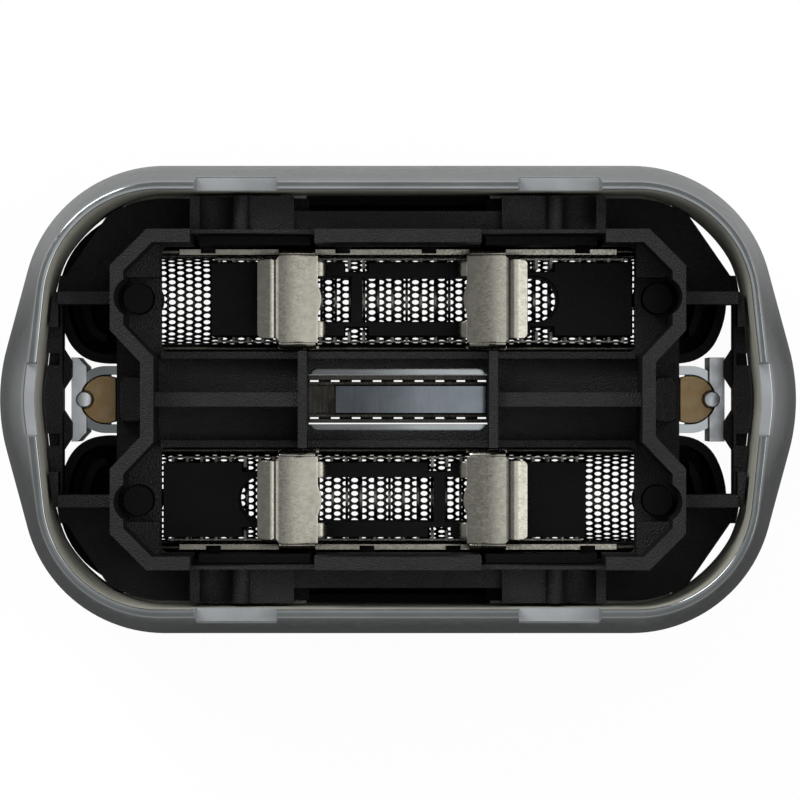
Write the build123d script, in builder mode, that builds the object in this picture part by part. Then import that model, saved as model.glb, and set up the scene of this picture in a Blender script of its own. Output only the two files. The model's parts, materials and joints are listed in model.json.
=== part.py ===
"""Shaver foil head: a drop-in cassette with two floating foils over sliding cutters, and a trimmer between.

Millimetres. X runs along the head, and Z points to the handle side. The foils' crests lie at z = 0.
"""
import os
from math import cos, radians, sin, sqrt, tan

from build123d import *

# Overall size
head_length = 46.0
head_width = 27.0
head_height = 17.5

# Outer frame, a plated shell that is widest at its belt
corner_radius = 8.2
nose_radius = 11.4
end_rake = 15.3
rim_rake = 6.0
belt_height = 8.0
face_height = 2.6
rim_lean_x = 2.25
rim_lean_y = 1.4
face_lean = 0.9
rim_wall = 0.35
face_wall = 0.6
notch_width = 4.6
notch_depth = 2.2
notch_shift = 0.25
rebate_width = 4.1
rebate_depth = 0.9
seat_reach = 0.9
seat_thickness = 0.9
seat_root = 0.6
seat_end_gap = 0.5
seat_inner_gap = 0.2

# Inner frame, a black moulding with the drive box, ribs, arms and latch blocks
plate_height = 8.6
plate_thickness = 1.0
plate_gap = 0.2
plate_shoulder = 0.16
plate_horn = 0.1
plate_horn_width = 1.35
box_end_gap = 6.8
box_wall = 0.75
box_rise = 6.6
box_chamfer = 2.05
waist_depth = 1.7
waist_width = 3.9
waist_flare = 1.8
bay_land = 2.6
bay_width = 6.06
bay_corner = 0.35
foil_inset = 3.83
rib_thickness = 0.8
rib_rise = 4.8
window_length = 10.3
window_width = 3.58
window_corner = 0.45
window_wall = 0.5
window_wall_rise = 5.4
bay_wall = 0.4
bay_wall_rise = 1.0
ledge_width = 1.1
ledge_slot_land = 0.8
ledge_rise = 3.6
block_length = 5.9
block_end_gap = 4.4
block_rise = 4.0
groove_radius = 0.95
groove_shift = 1.45
bead_radius = 0.5
bead_shift = 0.05
arm_thickness = 0.7
arm_rise = 4.0
bar_width = 1.0
bar_rise = 1.4
bar_lap = 0.1
end_open_lap = 0.03
lip_reach = 0.45
lip_start = 0.6
lip_end = 2.9
lip_slope = 0.7
tab_length = 2.0
tab_thickness = 0.7
tab_inset = 0.35
tab_rise = 3.6
lug_size = 0.7
lug_offset = 2.3
gusset_rise = 2.4
gusset_gap = 0.35
pocket_gap = 0.3
latch_window_length = 7.0
latch_window_end_gap = 4.5
latch_skin = 0.2
low_wall_drop = 1.3

# Foil units, two trays that float along Z and carry a foil each
unit_shift = -0.32
unit_side_gap = 0.2
unit_headroom = 0.3
unit_inner_edge = 2.1
unit_land = 3.67
unit_inner_corner = 2.4
unit_outer_corner = 3.0
unit_end_radius = 5.13
unit_end_land = 0.61
unit_flank = 55.4
unit_floor = 1.7
unit_floor_thickness = 1.0
unit_wall = 0.55
unit_edge_radius = 0.7
float_travel = 1.1
post_radius = 0.85
post_offset = 1.25
post_boss = 1.25
post_rise = 1.6
hook_thickness = 0.3
hook_nose = 0.2
hook_height = 0.6
hook_play = 0.3
cap_length = 1.7
rib_arc_gap = 0.75
rib_arc_wall = 0.45
rib_arc_land = 2.5
rail_gap = 0.05
rail_wall = 0.4
rail_margin = 0.1
clip_offsets = (-11.0, -3.2, 1.8, 10.7)
clip_length = 0.85
clip_reach = 0.4
clip_thickness = 0.3
end_wall = 1.9
boss_root = 1.0

# Foils, arched steel sheet
foil_thickness = 0.1
foil_half_width = 2.65
foil_crown_radius = 3.3
foil_shoulder_radius = 1.9
foil_leg_height = 6.6
foil_flange = 0.4
foil_overlap = 0.75
foil_hole = 0.5
foil_plain_end = 1.2
foil_hole_rows = 3
foil_pitch = 1.05
foil_row = 1.2

# Foil retainers, stamped steel with two cross plates and side strips
sheet = 0.25
strip_width = 0.36
strip_end_gap = 0.9
mouth_half = 4.25
cross_length = 2.4
cross_rise = 1.6
curl_length = 1.1
curl_rise = 0.3
curl_inset = 0.55
finger_width = 1.0
finger_drop = 1.2
finger_run = 0.6
finger_offset = 1.75
bump_radius = 0.7
bump_reach = 0.22

# Cutters, arched blades on black carriers that slide along X
cutter_travel = 1.35
end_clearance = 0.1
blade_clearance = 0.1
blade_thickness = 0.28
blade_height = 5.8
blade_slots = 17
blade_bar = 0.5
slot_top = 4.4
carrier_floor = 3.4
carrier_height = 9.3
carrier_rail = 0.85
carrier_block = 4.3
crossbar_offset = 3.75
crossbar_width = 0.65
rail_notch_offset = 6.95
rail_notch_length = 1.35
rail_notch_depth = 0.55

# Trimmer between the foils
guard_gap = 0.14
guard_wall = 0.5
guard_floor = 0.7
guard_height = 5.0
guard_end_gap = 2.5
guard_nose = 1.95
guard_edge = 0.25
floor_web = 0.1
guard_end_height = 6.0
guard_end_wall = 0.87
guard_end_half = 2.45
holder_clearance = 0.08
holder_trim = 0.6
holder_base = 1.9
holder_height = 5.5
pin_radius = 0.48
pin_inset = 0.12
pin_dome = 0.25
pin_rise = 0.4
comb_gap = 0.14
comb_end_gap = 0.75
comb_sheet = 0.18
comb_floor = 0.35
comb_height = 3.0
comb_plain_end = 0.7
comb_slot = 0.5
comb_pitch = 1.24
comb_tooth = 0.45
comb_slot_height = 1.6
trim_clearance = 0.1
trim_blade_height = 2.5
trim_end_gap = 0.2
trim_plain_end = 1.5
trim_pitch = 1.5
slider_length = 12.4
slider_offset = 2.5
slider_height = 4.3
trim_travel = 0.6
latch_length = 4.2
latch_neck = 0.7
latch_head_half = 1.3
latch_head_length = 1.3
latch_head_height = 1.4
latch_head_corner = 0.4
latch_overlap = 0.35
latch_play = 0.15
spring_sheet = 0.15
spring_width = 1.5
spring_span = 1.7
spring_rise = 2.6
spring_end_gap = 0.3
fit = 0.05
over = 0.4

# Sizes that follow from the ones above
half_length = head_length / 2
half_width = head_width / 2
rim_half_length = half_length - rim_lean_x
rim_half_width = half_width - rim_lean_y
face_half_length = half_length - face_lean
face_half_width = half_width - face_lean
open_half_length = face_half_length - face_wall
open_half_width = face_half_width - face_wall
collar_half_length = rim_half_length - rim_wall
collar_half_width = rim_half_width - rim_wall
rim_radius = corner_radius - rim_lean_y
face_radius = corner_radius - face_lean
plate_top = plate_height + plate_thickness
collar_height = plate_height - seat_thickness
unit_height = collar_height - unit_headroom
box_height = plate_top + box_rise
block_height = plate_top + block_rise
bar_height = plate_top + bar_rise
cross_height = plate_top + cross_rise
box_half_length = half_length - box_end_gap
foil_axis = unit_inner_edge + unit_land
box_half_width = foil_axis + foil_inset
box_inner_width = box_half_width - box_wall
bay_half_length = box_half_length - bay_land
bay_inner = foil_axis - bay_width / 2
waist_half_length = box_half_length - waist_depth
seat_end = box_half_length - seat_end_gap
block_offset = box_half_length - block_end_gap - block_length / 2
notch_offset = block_offset + notch_shift
groove_offset = block_offset + groove_shift
bead_offset = block_offset + bead_shift
ledge_slot_length = 2 * (block_offset - block_length / 2 - ledge_slot_land)
seat_inner = ledge_slot_length / 2 + seat_inner_gap
latch_window_offset = box_half_length - latch_window_end_gap - latch_window_length / 2
post_x = bay_half_length + post_offset
unit_end_x = bay_half_length + unit_end_land
foil_half_length = bay_half_length + foil_overlap
cutter_half_length = bay_half_length - cutter_travel - end_clearance
guard_half_width = unit_inner_edge - guard_gap
guard_end = open_half_length - guard_end_gap
guard_centre = guard_end - guard_nose
pin_x = guard_end - guard_end_wall + pin_inset
trough_half_width = guard_half_width - guard_wall
rail_inner = foil_half_width + rail_gap
rail_top = foil_leg_height - foil_thickness
strip_inner = foil_half_width - fit
strip_outer = max(strip_inner + strip_width, foil_half_width + foil_flange)
strip_top = foil_leg_height + sheet
foil_end = foil_half_length + rail_gap
rib_arc_start = foil_end + rib_arc_land
blade_inset = foil_thickness + blade_clearance
blade_half_width = foil_half_width - blade_inset
carrier_half_width = blade_half_width - blade_thickness - fit / 2
comb_half_width = trough_half_width - comb_gap
trim_half_width = comb_half_width - comb_sheet - trim_clearance
comb_half_length = guard_centre - comb_end_gap
trim_half_length = comb_half_length - latch_length - trim_travel - trim_end_gap
latch_x = waist_half_length + latch_play + latch_head_length / 2
latch_base_height = plate_height - spring_rise
hook_slot = box_inner_width + hook_thickness + fit


def outline(height, length, width, corner, nose, rake):
    """Straight long sides, leaning end flanks that meet in a soft nose, and round corners."""
    tip = length + nose * (1 / cos(radians(rake)) - 1)
    shoulder = tip - width * tan(radians(rake))
    points = [
        (shoulder, width),
        (tip, 0),
        (shoulder, -width),
        (-shoulder, -width),
        (-tip, 0),
        (-shoulder, width),
    ]
    with BuildSketch(Plane.XY.offset(height)) as drawn:
        with BuildLine():
            Polyline(*points, close=True)
        make_face()
        corners = drawn.vertices().filter_by(lambda v: abs(v.Y) > width / 2)
        fillet(corners, corner)
        tips = drawn.vertices().filter_by(lambda v: abs(v.Y) < 1e-3)
        fillet(tips, nose)
    return drawn.sketch


def quartered(points):
    """Face from the outline in one quarter, repeated about both middle lines."""
    with BuildLine() as path:
        Polyline(*points, close=True)
    make_face(path.edges())
    mirror(about=Plane.XZ)
    mirror(about=Plane.YZ)


def opening(height, gap):
    """Inside outline of the outer frame about the foil units, drawn in by a gap."""
    corner = face_radius - face_wall - gap
    length = open_half_length - gap
    return outline(height, length, open_half_width - gap, corner, nose_radius - rim_lean_x, end_rake)


def collar(height, gap):
    """Inside outline of the outer frame from the inner frame up to the rim, drawn in by a gap."""
    corner = rim_radius - rim_wall - gap
    length = collar_half_length - gap
    return outline(height, length, collar_half_width - gap, corner, nose_radius - rim_lean_x, rim_rake)


def shell(height):
    """Outside outline of the outer frame: it leans in from the belt to the face and to the rim."""
    if height <= belt_height:
        share = ((belt_height - height) / (belt_height - face_height)) ** 2
        lean_x = face_lean * share
        lean_y = face_lean * share
        rake = end_rake
    else:
        share = ((height - belt_height) / (head_height - belt_height)) ** 1.5
        lean_x = rim_lean_x * share
        lean_y = rim_lean_y * share
        rake = end_rake + (rim_rake - end_rake) * share
    corner = corner_radius - lean_y
    return outline(height, half_length - lean_x, half_width - lean_y, corner, nose_radius - lean_x, rake)


# Outer frame
with BuildPart() as outer_frame:
    levels = [face_height + (belt_height - face_height) * share for share in (0, 0.2, 0.5, 1)]
    levels += [belt_height + (head_height - belt_height) * share for share in (0.3, 0.65, 1)]
    loft(sections=[shell(height) for height in levels], ruled=True)
    below = collar_height - face_height + over
    extrude(opening(face_height - over, 0), amount=below, mode=Mode.SUBTRACT)
    extrude(collar(collar_height, 0), amount=head_height - collar_height + over, mode=Mode.SUBTRACT)
    with BuildSketch(Plane.XY.offset(head_height)):
        for side in (1, -1):
            with Locations((notch_offset, side * half_width), (-notch_offset, side * half_width)):
                Rectangle(notch_width, 2 * (rim_lean_y + rim_wall + over))
    extrude(amount=-notch_depth, mode=Mode.SUBTRACT)
    with BuildSketch(Plane.XY.offset(head_height)):
        Rectangle(head_length, rebate_width)
    extrude(amount=-rebate_depth, mode=Mode.SUBTRACT)
    with BuildSketch(Plane.XY.offset(plate_height)):
        for side in (1, -1):
            seat_y = side * (collar_half_width + (seat_root - seat_reach) / 2)
            with Locations(((seat_inner + seat_end) / 2, seat_y), (-(seat_inner + seat_end) / 2, seat_y)):
                Rectangle(seat_end - seat_inner, seat_reach + seat_root)
    extrude(amount=-seat_thickness)

# Inner frame
plate_half_width = collar_half_width - plate_gap
plate_half_length = collar_half_length - plate_gap
bar_inner = plate_half_length - bar_width
corner_inner_x = box_half_length - plate_shoulder
corner_outer_x = bar_inner - plate_horn
corner_outer_y = foil_axis + plate_horn_width
tab_outer_x = plate_half_length - tab_inset
box_outline = [
    (0, 0),
    (0, box_half_width),
    (box_half_length - box_chamfer, box_half_width),
    (box_half_length, box_half_width - box_chamfer),
    (box_half_length, waist_width),
    (waist_half_length, waist_width - waist_flare),
    (waist_half_length, 0),
]
plate_outline = [
    (0, 0),
    (0, plate_half_width),
    (corner_inner_x, plate_half_width),
    (corner_outer_x, corner_outer_y),
    (tab_outer_x, corner_outer_y),
    (tab_outer_x, foil_axis + arm_thickness / 2),
    (plate_half_length, foil_axis + arm_thickness / 2),
    (plate_half_length, 0),
]
end_open_inner = box_half_length - end_open_lap
end_open_half = foil_axis - arm_thickness / 2
with BuildPart() as inner_frame:
    # Floor plate with its openings
    with BuildSketch(Plane.XY.offset(plate_height)):
        quartered(plate_outline)
        for side in (1, -1):
            with Locations((0, side * foil_axis)):
                RectangleRounded(2 * bay_half_length, bay_width, bay_corner, mode=Mode.SUBTRACT)
            for end in (1, -1):
                with Locations((end * latch_window_offset, side * (foil_axis + hook_slot) / 2)):
                    Rectangle(latch_window_length, hook_slot - foil_axis, mode=Mode.SUBTRACT)
                with Locations((end * post_x, side * foil_axis)):
                    Circle(post_radius + fit, mode=Mode.SUBTRACT)
        RectangleRounded(window_length, window_width, window_corner, mode=Mode.SUBTRACT)
        for end in (1, -1):
            with Locations((end * (end_open_inner + bar_inner) / 2, 0)):
                Rectangle(bar_inner - end_open_inner, 2 * end_open_half, mode=Mode.SUBTRACT)
            for side in (1, -1):
                lip = [
                    (end * (bar_inner + fit), side * lip_start),
                    (end * bar_inner, side * lip_start),
                    (end * (bar_inner - lip_reach), side * (lip_start + lip_slope)),
                    (end * (bar_inner - lip_reach), side * (lip_end - lip_slope)),
                    (end * bar_inner, side * lip_end),
                    (end * (bar_inner + fit), side * lip_end),
                ]
                with BuildLine() as path:
                    Polyline(*lip, close=True)
                make_face(path.edges())
            with Locations((end * latch_x, 0)):
                hole_half = latch_head_half - latch_overlap
                Rectangle(latch_neck + 2 * latch_play, 2 * hole_half, mode=Mode.SUBTRACT)
        for side in (1, -1):
            with Locations((0, side * (box_half_width + ledge_width + half_width / 2))):
                Rectangle(ledge_slot_length, half_width, mode=Mode.SUBTRACT)
    extrude(amount=plate_thickness)
    # Wall of the drive box
    with BuildSketch(Plane.XY.offset(plate_top)):
        quartered(box_outline)
        offset(amount=-box_wall, kind=Kind.INTERSECTION, mode=Mode.SUBTRACT)
    extrude(amount=box_rise)
    # Lowered stretches above the latch windows, and the round pockets about the posts
    for side in (1, -1):
        for end in (1, -1):
            with BuildSketch(Plane.XY.offset(box_height)):
                with Locations((end * latch_window_offset, side * (box_half_width - latch_skin - box_wall))):
                    Rectangle(latch_window_length, 2 * box_wall)
            extrude(amount=-box_rise, mode=Mode.SUBTRACT)
            with BuildSketch(Plane.XY.offset(box_height)):
                with Locations((end * latch_window_offset, side * box_half_width)):
                    Rectangle(latch_window_length, 4 * latch_skin)
            extrude(amount=-low_wall_drop, mode=Mode.SUBTRACT)
            with BuildSketch(Plane.XY.offset(box_height)):
                with Locations((end * post_x, side * foil_axis)):
                    Circle(post_radius + pocket_gap)
            extrude(amount=-box_rise, mode=Mode.SUBTRACT)
    # Ribs across the middle, window walls and low walls along the bays
    with BuildSketch(Plane.XY.offset(plate_top)):
        rib_start = window_length / 2 + window_wall / 2
        rib_end = waist_half_length - box_wall / 2
        for end in (1, -1):
            with Locations((end * (rib_start + rib_end) / 2, 0)):
                Rectangle(rib_end - rib_start, rib_thickness)
    extrude(amount=rib_rise)
    with BuildSketch(Plane.XY.offset(plate_top)):
        for end in (1, -1):
            with Locations((end * (window_length + window_wall) / 2, 0)):
                Rectangle(window_wall, 2 * bay_inner)
    extrude(amount=window_wall_rise)
    with BuildSketch(Plane.XY.offset(plate_top)):
        for side in (1, -1):
            with Locations((0, side * (bay_inner - bay_wall / 2))):
                Rectangle(2 * bay_half_length, bay_wall)
    extrude(amount=bay_wall_rise)
    # Side ledges and latch blocks with a groove and a bead across each
    for side in (1, -1):
        with BuildSketch(Plane.XY.offset(plate_top)):
            with Locations((0, side * (box_half_width + ledge_width / 2))):
                Rectangle(2 * block_offset, ledge_width)
        extrude(amount=ledge_rise)
        with BuildSketch(Plane.XY.offset(plate_top)):
            block_depth = plate_half_width - box_half_width
            with Locations((block_offset, side * (box_half_width + block_depth / 2))):
                Rectangle(block_length, block_depth)
            with Locations((-block_offset, side * (box_half_width + block_depth / 2))):
                Rectangle(block_length, block_depth)
        extrude(amount=block_rise)
        with BuildSketch(Plane.XZ.offset(-side * (box_half_width + fit))):
            with Locations((groove_offset, block_height), (-groove_offset, block_height)):
                Circle(groove_radius)
        extrude(amount=-side * block_depth, mode=Mode.SUBTRACT)
        with BuildSketch(Plane.XZ.offset(-side * box_half_width)):
            with Locations((bead_offset, block_height), (-bead_offset, block_height)):
                Circle(bead_radius)
        extrude(amount=-side * block_depth)
    # Arms, end bars and tabs
    for end in (1, -1):
        with BuildSketch(Plane.XY.offset(plate_top)):
            arm_length = bar_inner + bar_lap - box_half_length
            for side in (1, -1):
                with Locations((end * (box_half_length + arm_length / 2), side * foil_axis)):
                    Rectangle(arm_length, arm_thickness)
        extrude(amount=arm_rise)
        with BuildSketch(Plane.XY.offset(plate_top)):
            with Locations((end * (bar_inner + bar_width / 2), 0)):
                Rectangle(bar_width, 2 * foil_axis)
        extrude(amount=bar_rise)
        with BuildSketch(Plane.XY.offset(plate_top)):
            for side in (1, -1):
                tab_y = side * (foil_axis + arm_thickness / 2 - tab_length / 2)
                with Locations((end * (bar_inner + bar_lap + tab_thickness / 2), tab_y)):
                    Rectangle(tab_thickness, tab_length)
        extrude(amount=tab_rise)
        with BuildSketch(Plane.XY.offset(bar_height)):
            for side in (1, -1):
                with Locations((end * (bar_inner + bar_width / 2), side * lug_offset)):
                    Rectangle(lug_size, lug_size)
        extrude(amount=-bar_rise / 2, mode=Mode.SUBTRACT)
    # Gussets in the corners of the drive box
    with BuildSketch(Plane.XY.offset(plate_top)):
        gusset_y = foil_axis + post_radius + gusset_gap
        for side in (1, -1):
            for end in (1, -1):
                with BuildLine():
                    Polyline(
                        (end * bay_half_length, side * box_inner_width),
                        (end * (box_half_length - box_chamfer), side * box_inner_width),
                        (end * (box_half_length - box_wall), side * (box_half_width - box_chamfer)),
                        (end * (box_half_length - box_wall), side * gusset_y),
                        (end * bay_half_length, side * gusset_y),
                        close=True,
                    )
                make_face()
    extrude(amount=gusset_rise)
    # The lowered stretches stay clear for the hooks
    for side in (1, -1):
        with BuildSketch(Plane.XY.offset(plate_height)):
            for end in (1, -1):
                with Locations((end * latch_window_offset, side * (foil_axis + hook_slot) / 2)):
                    Rectangle(latch_window_length, hook_slot - foil_axis)
        extrude(amount=box_height, mode=Mode.SUBTRACT)
    # Trimmed to the inside of the outer frame
    extrude(collar(plate_height - over, plate_gap), amount=head_height, mode=Mode.INTERSECT)

# Planes of the two foil units: the front unit is the rear one turned half round
sides = {"rear": Plane.XY, "front": Plane((0, 0, 0), x_dir=(-1, 0, 0), z_dir=(0, 0, 1))}
across = {
    "rear": Plane((0, 0, 0), x_dir=(0, 1, 0), z_dir=(1, 0, 0)),
    "front": Plane((0, 0, 0), x_dir=(0, -1, 0), z_dir=(-1, 0, 0)),
}
along = {
    "rear": Plane((0, 0, 0), x_dir=(1, 0, 0), z_dir=(0, -1, 0)),
    "front": Plane((0, 0, 0), x_dir=(-1, 0, 0), z_dir=(0, 1, 0)),
}
turned = {"rear": 1, "front": -1}


def arch(half, crown, shoulder, base, top):
    """Closed arch profile: shallow crown, round shoulders and straight legs, from base up to top."""
    lift = crown - sqrt((crown - shoulder) ** 2 - (half - shoulder) ** 2)
    turn_x = (half - shoulder) * crown / (crown - shoulder)
    turn_z = crown - crown * (crown - lift) / (crown - shoulder)
    spread = 1 / sqrt(2)
    mid_x = half - shoulder + shoulder * spread
    mid_z = lift - shoulder * spread
    with BuildLine() as path:
        ThreePointArc(
            (foil_axis - turn_x, base + turn_z),
            (foil_axis, base),
            (foil_axis + turn_x, base + turn_z),
        )
        ThreePointArc(
            (foil_axis + turn_x, base + turn_z),
            (foil_axis + mid_x, base + mid_z),
            (foil_axis + half, base + lift),
        )
        Line((foil_axis + half, base + lift), (foil_axis + half, top))
        Line((foil_axis + half, top), (foil_axis - half, top))
        Line((foil_axis - half, top), (foil_axis - half, base + lift))
        ThreePointArc(
            (foil_axis - half, base + lift),
            (foil_axis - mid_x, base + mid_z),
            (foil_axis - turn_x, base + turn_z),
        )
    make_face(path.edges())


def unit_outline(plane, shift, inset):
    """Plan of a foil unit: round ends about the foil's axis, straight flanks up to the long outer side."""
    radius = unit_end_radius - inset
    edge = unit_inner_edge + inset
    wall = open_half_width - unit_side_gap - inset
    flank_x = unit_end_x + radius * cos(radians(unit_flank))
    flank_y = foil_axis + radius * sin(radians(unit_flank))
    wall_x = flank_x - (wall - flank_y) * tan(radians(unit_flank))
    with BuildSketch(plane) as drawn:
        with BuildLine():
            Polyline(
                (shift + unit_end_x, edge),
                (shift + flank_x, flank_y),
                (shift + wall_x, wall),
                (shift - wall_x, wall),
                (shift - flank_x, flank_y),
                (shift - unit_end_x, edge),
                close=True,
            )
        make_face()
        with Locations((shift + unit_end_x, foil_axis), (shift - unit_end_x, foil_axis)):
            Circle(radius)
        with Locations((0, edge)):
            Rectangle(head_length, head_width, align=(Align.CENTER, Align.MIN), mode=Mode.INTERSECT)
        inner = drawn.vertices().filter_by(lambda v: abs(v.Y - edge) < 1e-3)
        fillet(inner, unit_inner_corner - inset)
        outer = drawn.vertices().filter_by(lambda v: abs(v.Y - wall) < 1e-3)
        fillet(outer, unit_outer_corner - inset)
    return drawn.sketch


def make_foil_frame(name):
    """Tray with a perimeter wall, rails beside the foil, end caps, guide posts and hooks."""
    plane = sides[name]
    shift = unit_shift * turned[name]
    floor_top = unit_floor + unit_floor_thickness
    with BuildPart() as tray:
        extrude(unit_outline(plane.offset(unit_floor), shift, 0), amount=unit_height - unit_floor)
        lowest = tray.faces().sort_by(Axis.Z)[0]
        fillet(lowest.edges(), unit_edge_radius)
        hollow = unit_outline(plane.offset(floor_top), shift, unit_wall)
        extrude(hollow, amount=unit_height, mode=Mode.SUBTRACT)
        # Rails and end walls about the foil
        with BuildSketch(plane.offset(floor_top)) as rails:
            with Locations((0, foil_axis)):
                Rectangle(2 * (foil_end + end_wall), 2 * (rail_inner + rail_wall))
            add(unit_outline(Plane.XY, shift, rail_margin), mode=Mode.INTERSECT)
        extrude(rails.sketch, amount=rail_top - floor_top)
        # Curved rib inside each round end
        with BuildSketch(plane.offset(floor_top)) as ribs:
            add(unit_outline(Plane.XY, shift, unit_wall + rib_arc_gap))
            rib_inner = unit_wall + rib_arc_gap + rib_arc_wall
            add(unit_outline(Plane.XY, shift, rib_inner), mode=Mode.SUBTRACT)
            Rectangle(2 * rib_arc_start, 2 * head_width, mode=Mode.SUBTRACT)
        extrude(ribs.sketch, amount=rail_top - floor_top)
        # Arched caps that carry the foil's curve on past its ends
        for end in (1, -1):
            with BuildSketch(across[name].offset(end * foil_end)) as cap:
                arch(foil_half_width, foil_crown_radius, foil_shoulder_radius, fit, floor_top)
            extrude(cap.sketch, amount=end * cap_length)
        # Opening for the foil
        with BuildSketch(plane.offset(-over)) as opening:
            with Locations((0, foil_axis)):
                Rectangle(2 * foil_end, 2 * rail_inner)
        extrude(opening.sketch, amount=rail_top + over, mode=Mode.SUBTRACT)
        # Clips over the retainer's strip
        with BuildSketch(plane.offset(floor_top)) as stems:
            for clip_x in clip_offsets:
                with Locations((clip_x, foil_axis + strip_outer + fit)):
                    Rectangle(clip_length, clip_reach, align=(Align.CENTER, Align.MIN))
        extrude(stems.sketch, amount=strip_top + fit + clip_thickness - floor_top)
        with BuildSketch(plane.offset(strip_top + fit)) as clips:
            for clip_x in clip_offsets:
                with Locations((clip_x, foil_axis + strip_outer + fit - clip_reach)):
                    Rectangle(clip_length, 2 * clip_reach, align=(Align.CENTER, Align.MIN))
        extrude(clips.sketch, amount=clip_thickness)
        # Guide posts, their bosses stop under the inner frame's plate
        with BuildSketch(plane.offset(rail_top - boss_root)) as bosses:
            with Locations((post_x, foil_axis), (-post_x, foil_axis)):
                Circle(post_boss)
        extrude(bosses.sketch, amount=plate_height - rail_top + boss_root)
        with BuildSketch(plane.offset(plate_height)) as posts:
            with Locations((post_x, foil_axis), (-post_x, foil_axis)):
                Circle(post_radius)
        extrude(posts.sketch, amount=plate_thickness + post_rise)
        # Hooks that catch on the inner frame's plate
        nose_base = plate_top + float_travel + fit
        hook_length = latch_window_length - 2 * hook_play
        with BuildSketch(plane.offset(floor_top)) as stems:
            for end in (1, -1):
                with Locations((end * latch_window_offset, box_inner_width - fit / 2)):
                    Rectangle(hook_length, hook_thickness + fit / 2, align=(Align.CENTER, Align.MIN))
        extrude(stems.sketch, amount=nose_base + hook_height - floor_top)
        with BuildSketch(plane.offset(nose_base)) as noses:
            for end in (1, -1):
                with Locations((end * latch_window_offset, box_inner_width)):
                    Rectangle(hook_length, hook_thickness + hook_nose, align=(Align.CENTER, Align.MIN))
        extrude(noses.sketch, amount=hook_height)
    return tray


def make_foil(name):
    """Arched sheet with staggered six-sided holes and a flange along each leg."""
    with BuildPart() as foil:
        with BuildSketch(across[name]) as profile:
            arch(foil_half_width, foil_crown_radius, foil_shoulder_radius, 0, foil_leg_height)
            with Locations((foil_axis, foil_leg_height)):
                Rectangle(
                    2 * (foil_half_width + foil_flange), foil_thickness, align=(Align.CENTER, Align.MAX)
                )
        extrude(profile.sketch, amount=foil_half_length, both=True)
        with BuildSketch(across[name]) as hollow:
            arch(
                foil_half_width - foil_thickness,
                foil_crown_radius - foil_thickness,
                foil_shoulder_radius - foil_thickness,
                foil_thickness,
                foil_leg_height + over,
            )
        extrude(hollow.sketch, amount=foil_half_length + over, both=True, mode=Mode.SUBTRACT)
        hole_steps = int((foil_half_length - foil_plain_end) / (2 * foil_pitch))
        with BuildSketch(sides[name].offset(-over)) as holes:
            with Locations((0, foil_axis)):
                with GridLocations(2 * foil_pitch, foil_row, 2 * hole_steps + 1, foil_hole_rows):
                    RegularPolygon(foil_hole, 6)
                with GridLocations(2 * foil_pitch, foil_row, 2 * hole_steps, foil_hole_rows - 1):
                    RegularPolygon(foil_hole, 6)
        extrude(holes.sketch, amount=over + foil_half_width / 2, mode=Mode.SUBTRACT)
    return foil


def make_retainer(name):
    """Stamped steel bridge: a strip and two feet on the foil's flanges, two cross plates with curled ends."""
    shift = unit_shift * turned[name]
    leg_outer = strip_inner + sheet
    under = cross_height - sheet
    with BuildPart() as bridge:
        with BuildSketch(sides[name].offset(foil_leg_height)) as strips:
            with Locations((0, foil_axis + strip_inner + strip_width / 2)):
                Rectangle(2 * (bay_half_length - strip_end_gap), strip_width)
            for end in (1, -1):
                foot_x = shift + end * (mouth_half + cross_length / 2)
                with Locations((foot_x, foil_axis - strip_inner - strip_width / 2)):
                    Rectangle(cross_length, strip_width)
        extrude(strips.sketch, amount=sheet)
        with BuildSketch(sides[name].offset(foil_leg_height)) as legs:
            for end in (1, -1):
                for side in (1, -1):
                    leg_x = shift + end * (mouth_half + cross_length / 2)
                    with Locations((leg_x, foil_axis + side * (strip_inner + sheet / 2))):
                        Rectangle(cross_length - 2 * sheet, sheet)
        extrude(legs.sketch, amount=cross_height - foil_leg_height)
        for end in (1, -1):
            mouth = shift + end * mouth_half
            root = mouth + end * cross_length
            tip = root + end * curl_length
            with BuildSketch(sides[name].offset(under)) as plate:
                with Locations(((mouth + root) / 2, foil_axis)):
                    Rectangle(cross_length, 2 * leg_outer)
                with Locations((mouth + end * (bump_radius - bump_reach), foil_axis)):
                    Circle(bump_radius)
            extrude(plate.sketch, amount=sheet)
            # Curled outer end
            with BuildSketch(along[name].offset(-foil_axis)) as curl:
                with BuildLine():
                    ThreePointArc(
                        (root, cross_height),
                        ((root + tip) / 2, cross_height + curl_rise),
                        (tip, cross_height),
                    )
                    Line((tip, cross_height), (tip - end * sheet / 2, under))
                    ThreePointArc(
                        (tip - end * sheet / 2, under),
                        ((root + tip) / 2, under + curl_rise),
                        (root, under),
                    )
                    Line((root, under), (root, cross_height))
                make_face()
            extrude(curl.sketch, amount=leg_outer - curl_inset, both=True)
            # Fingers folded down into the mouth
            foot = mouth - end * finger_run
            drop = cross_height - finger_drop
            for side in (1, -1):
                with BuildSketch(along[name].offset(-foil_axis - side * finger_offset)) as finger:
                    with BuildLine():
                        Polyline(
                            (mouth + end * sheet, cross_height),
                            (mouth, cross_height),
                            (foot, drop),
                            (foot + end * sheet, drop),
                            (mouth + end * sheet, under),
                            close=True,
                        )
                    make_face()
                extrude(finger.sketch, amount=finger_width / 2, both=True)
    return bridge


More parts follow.
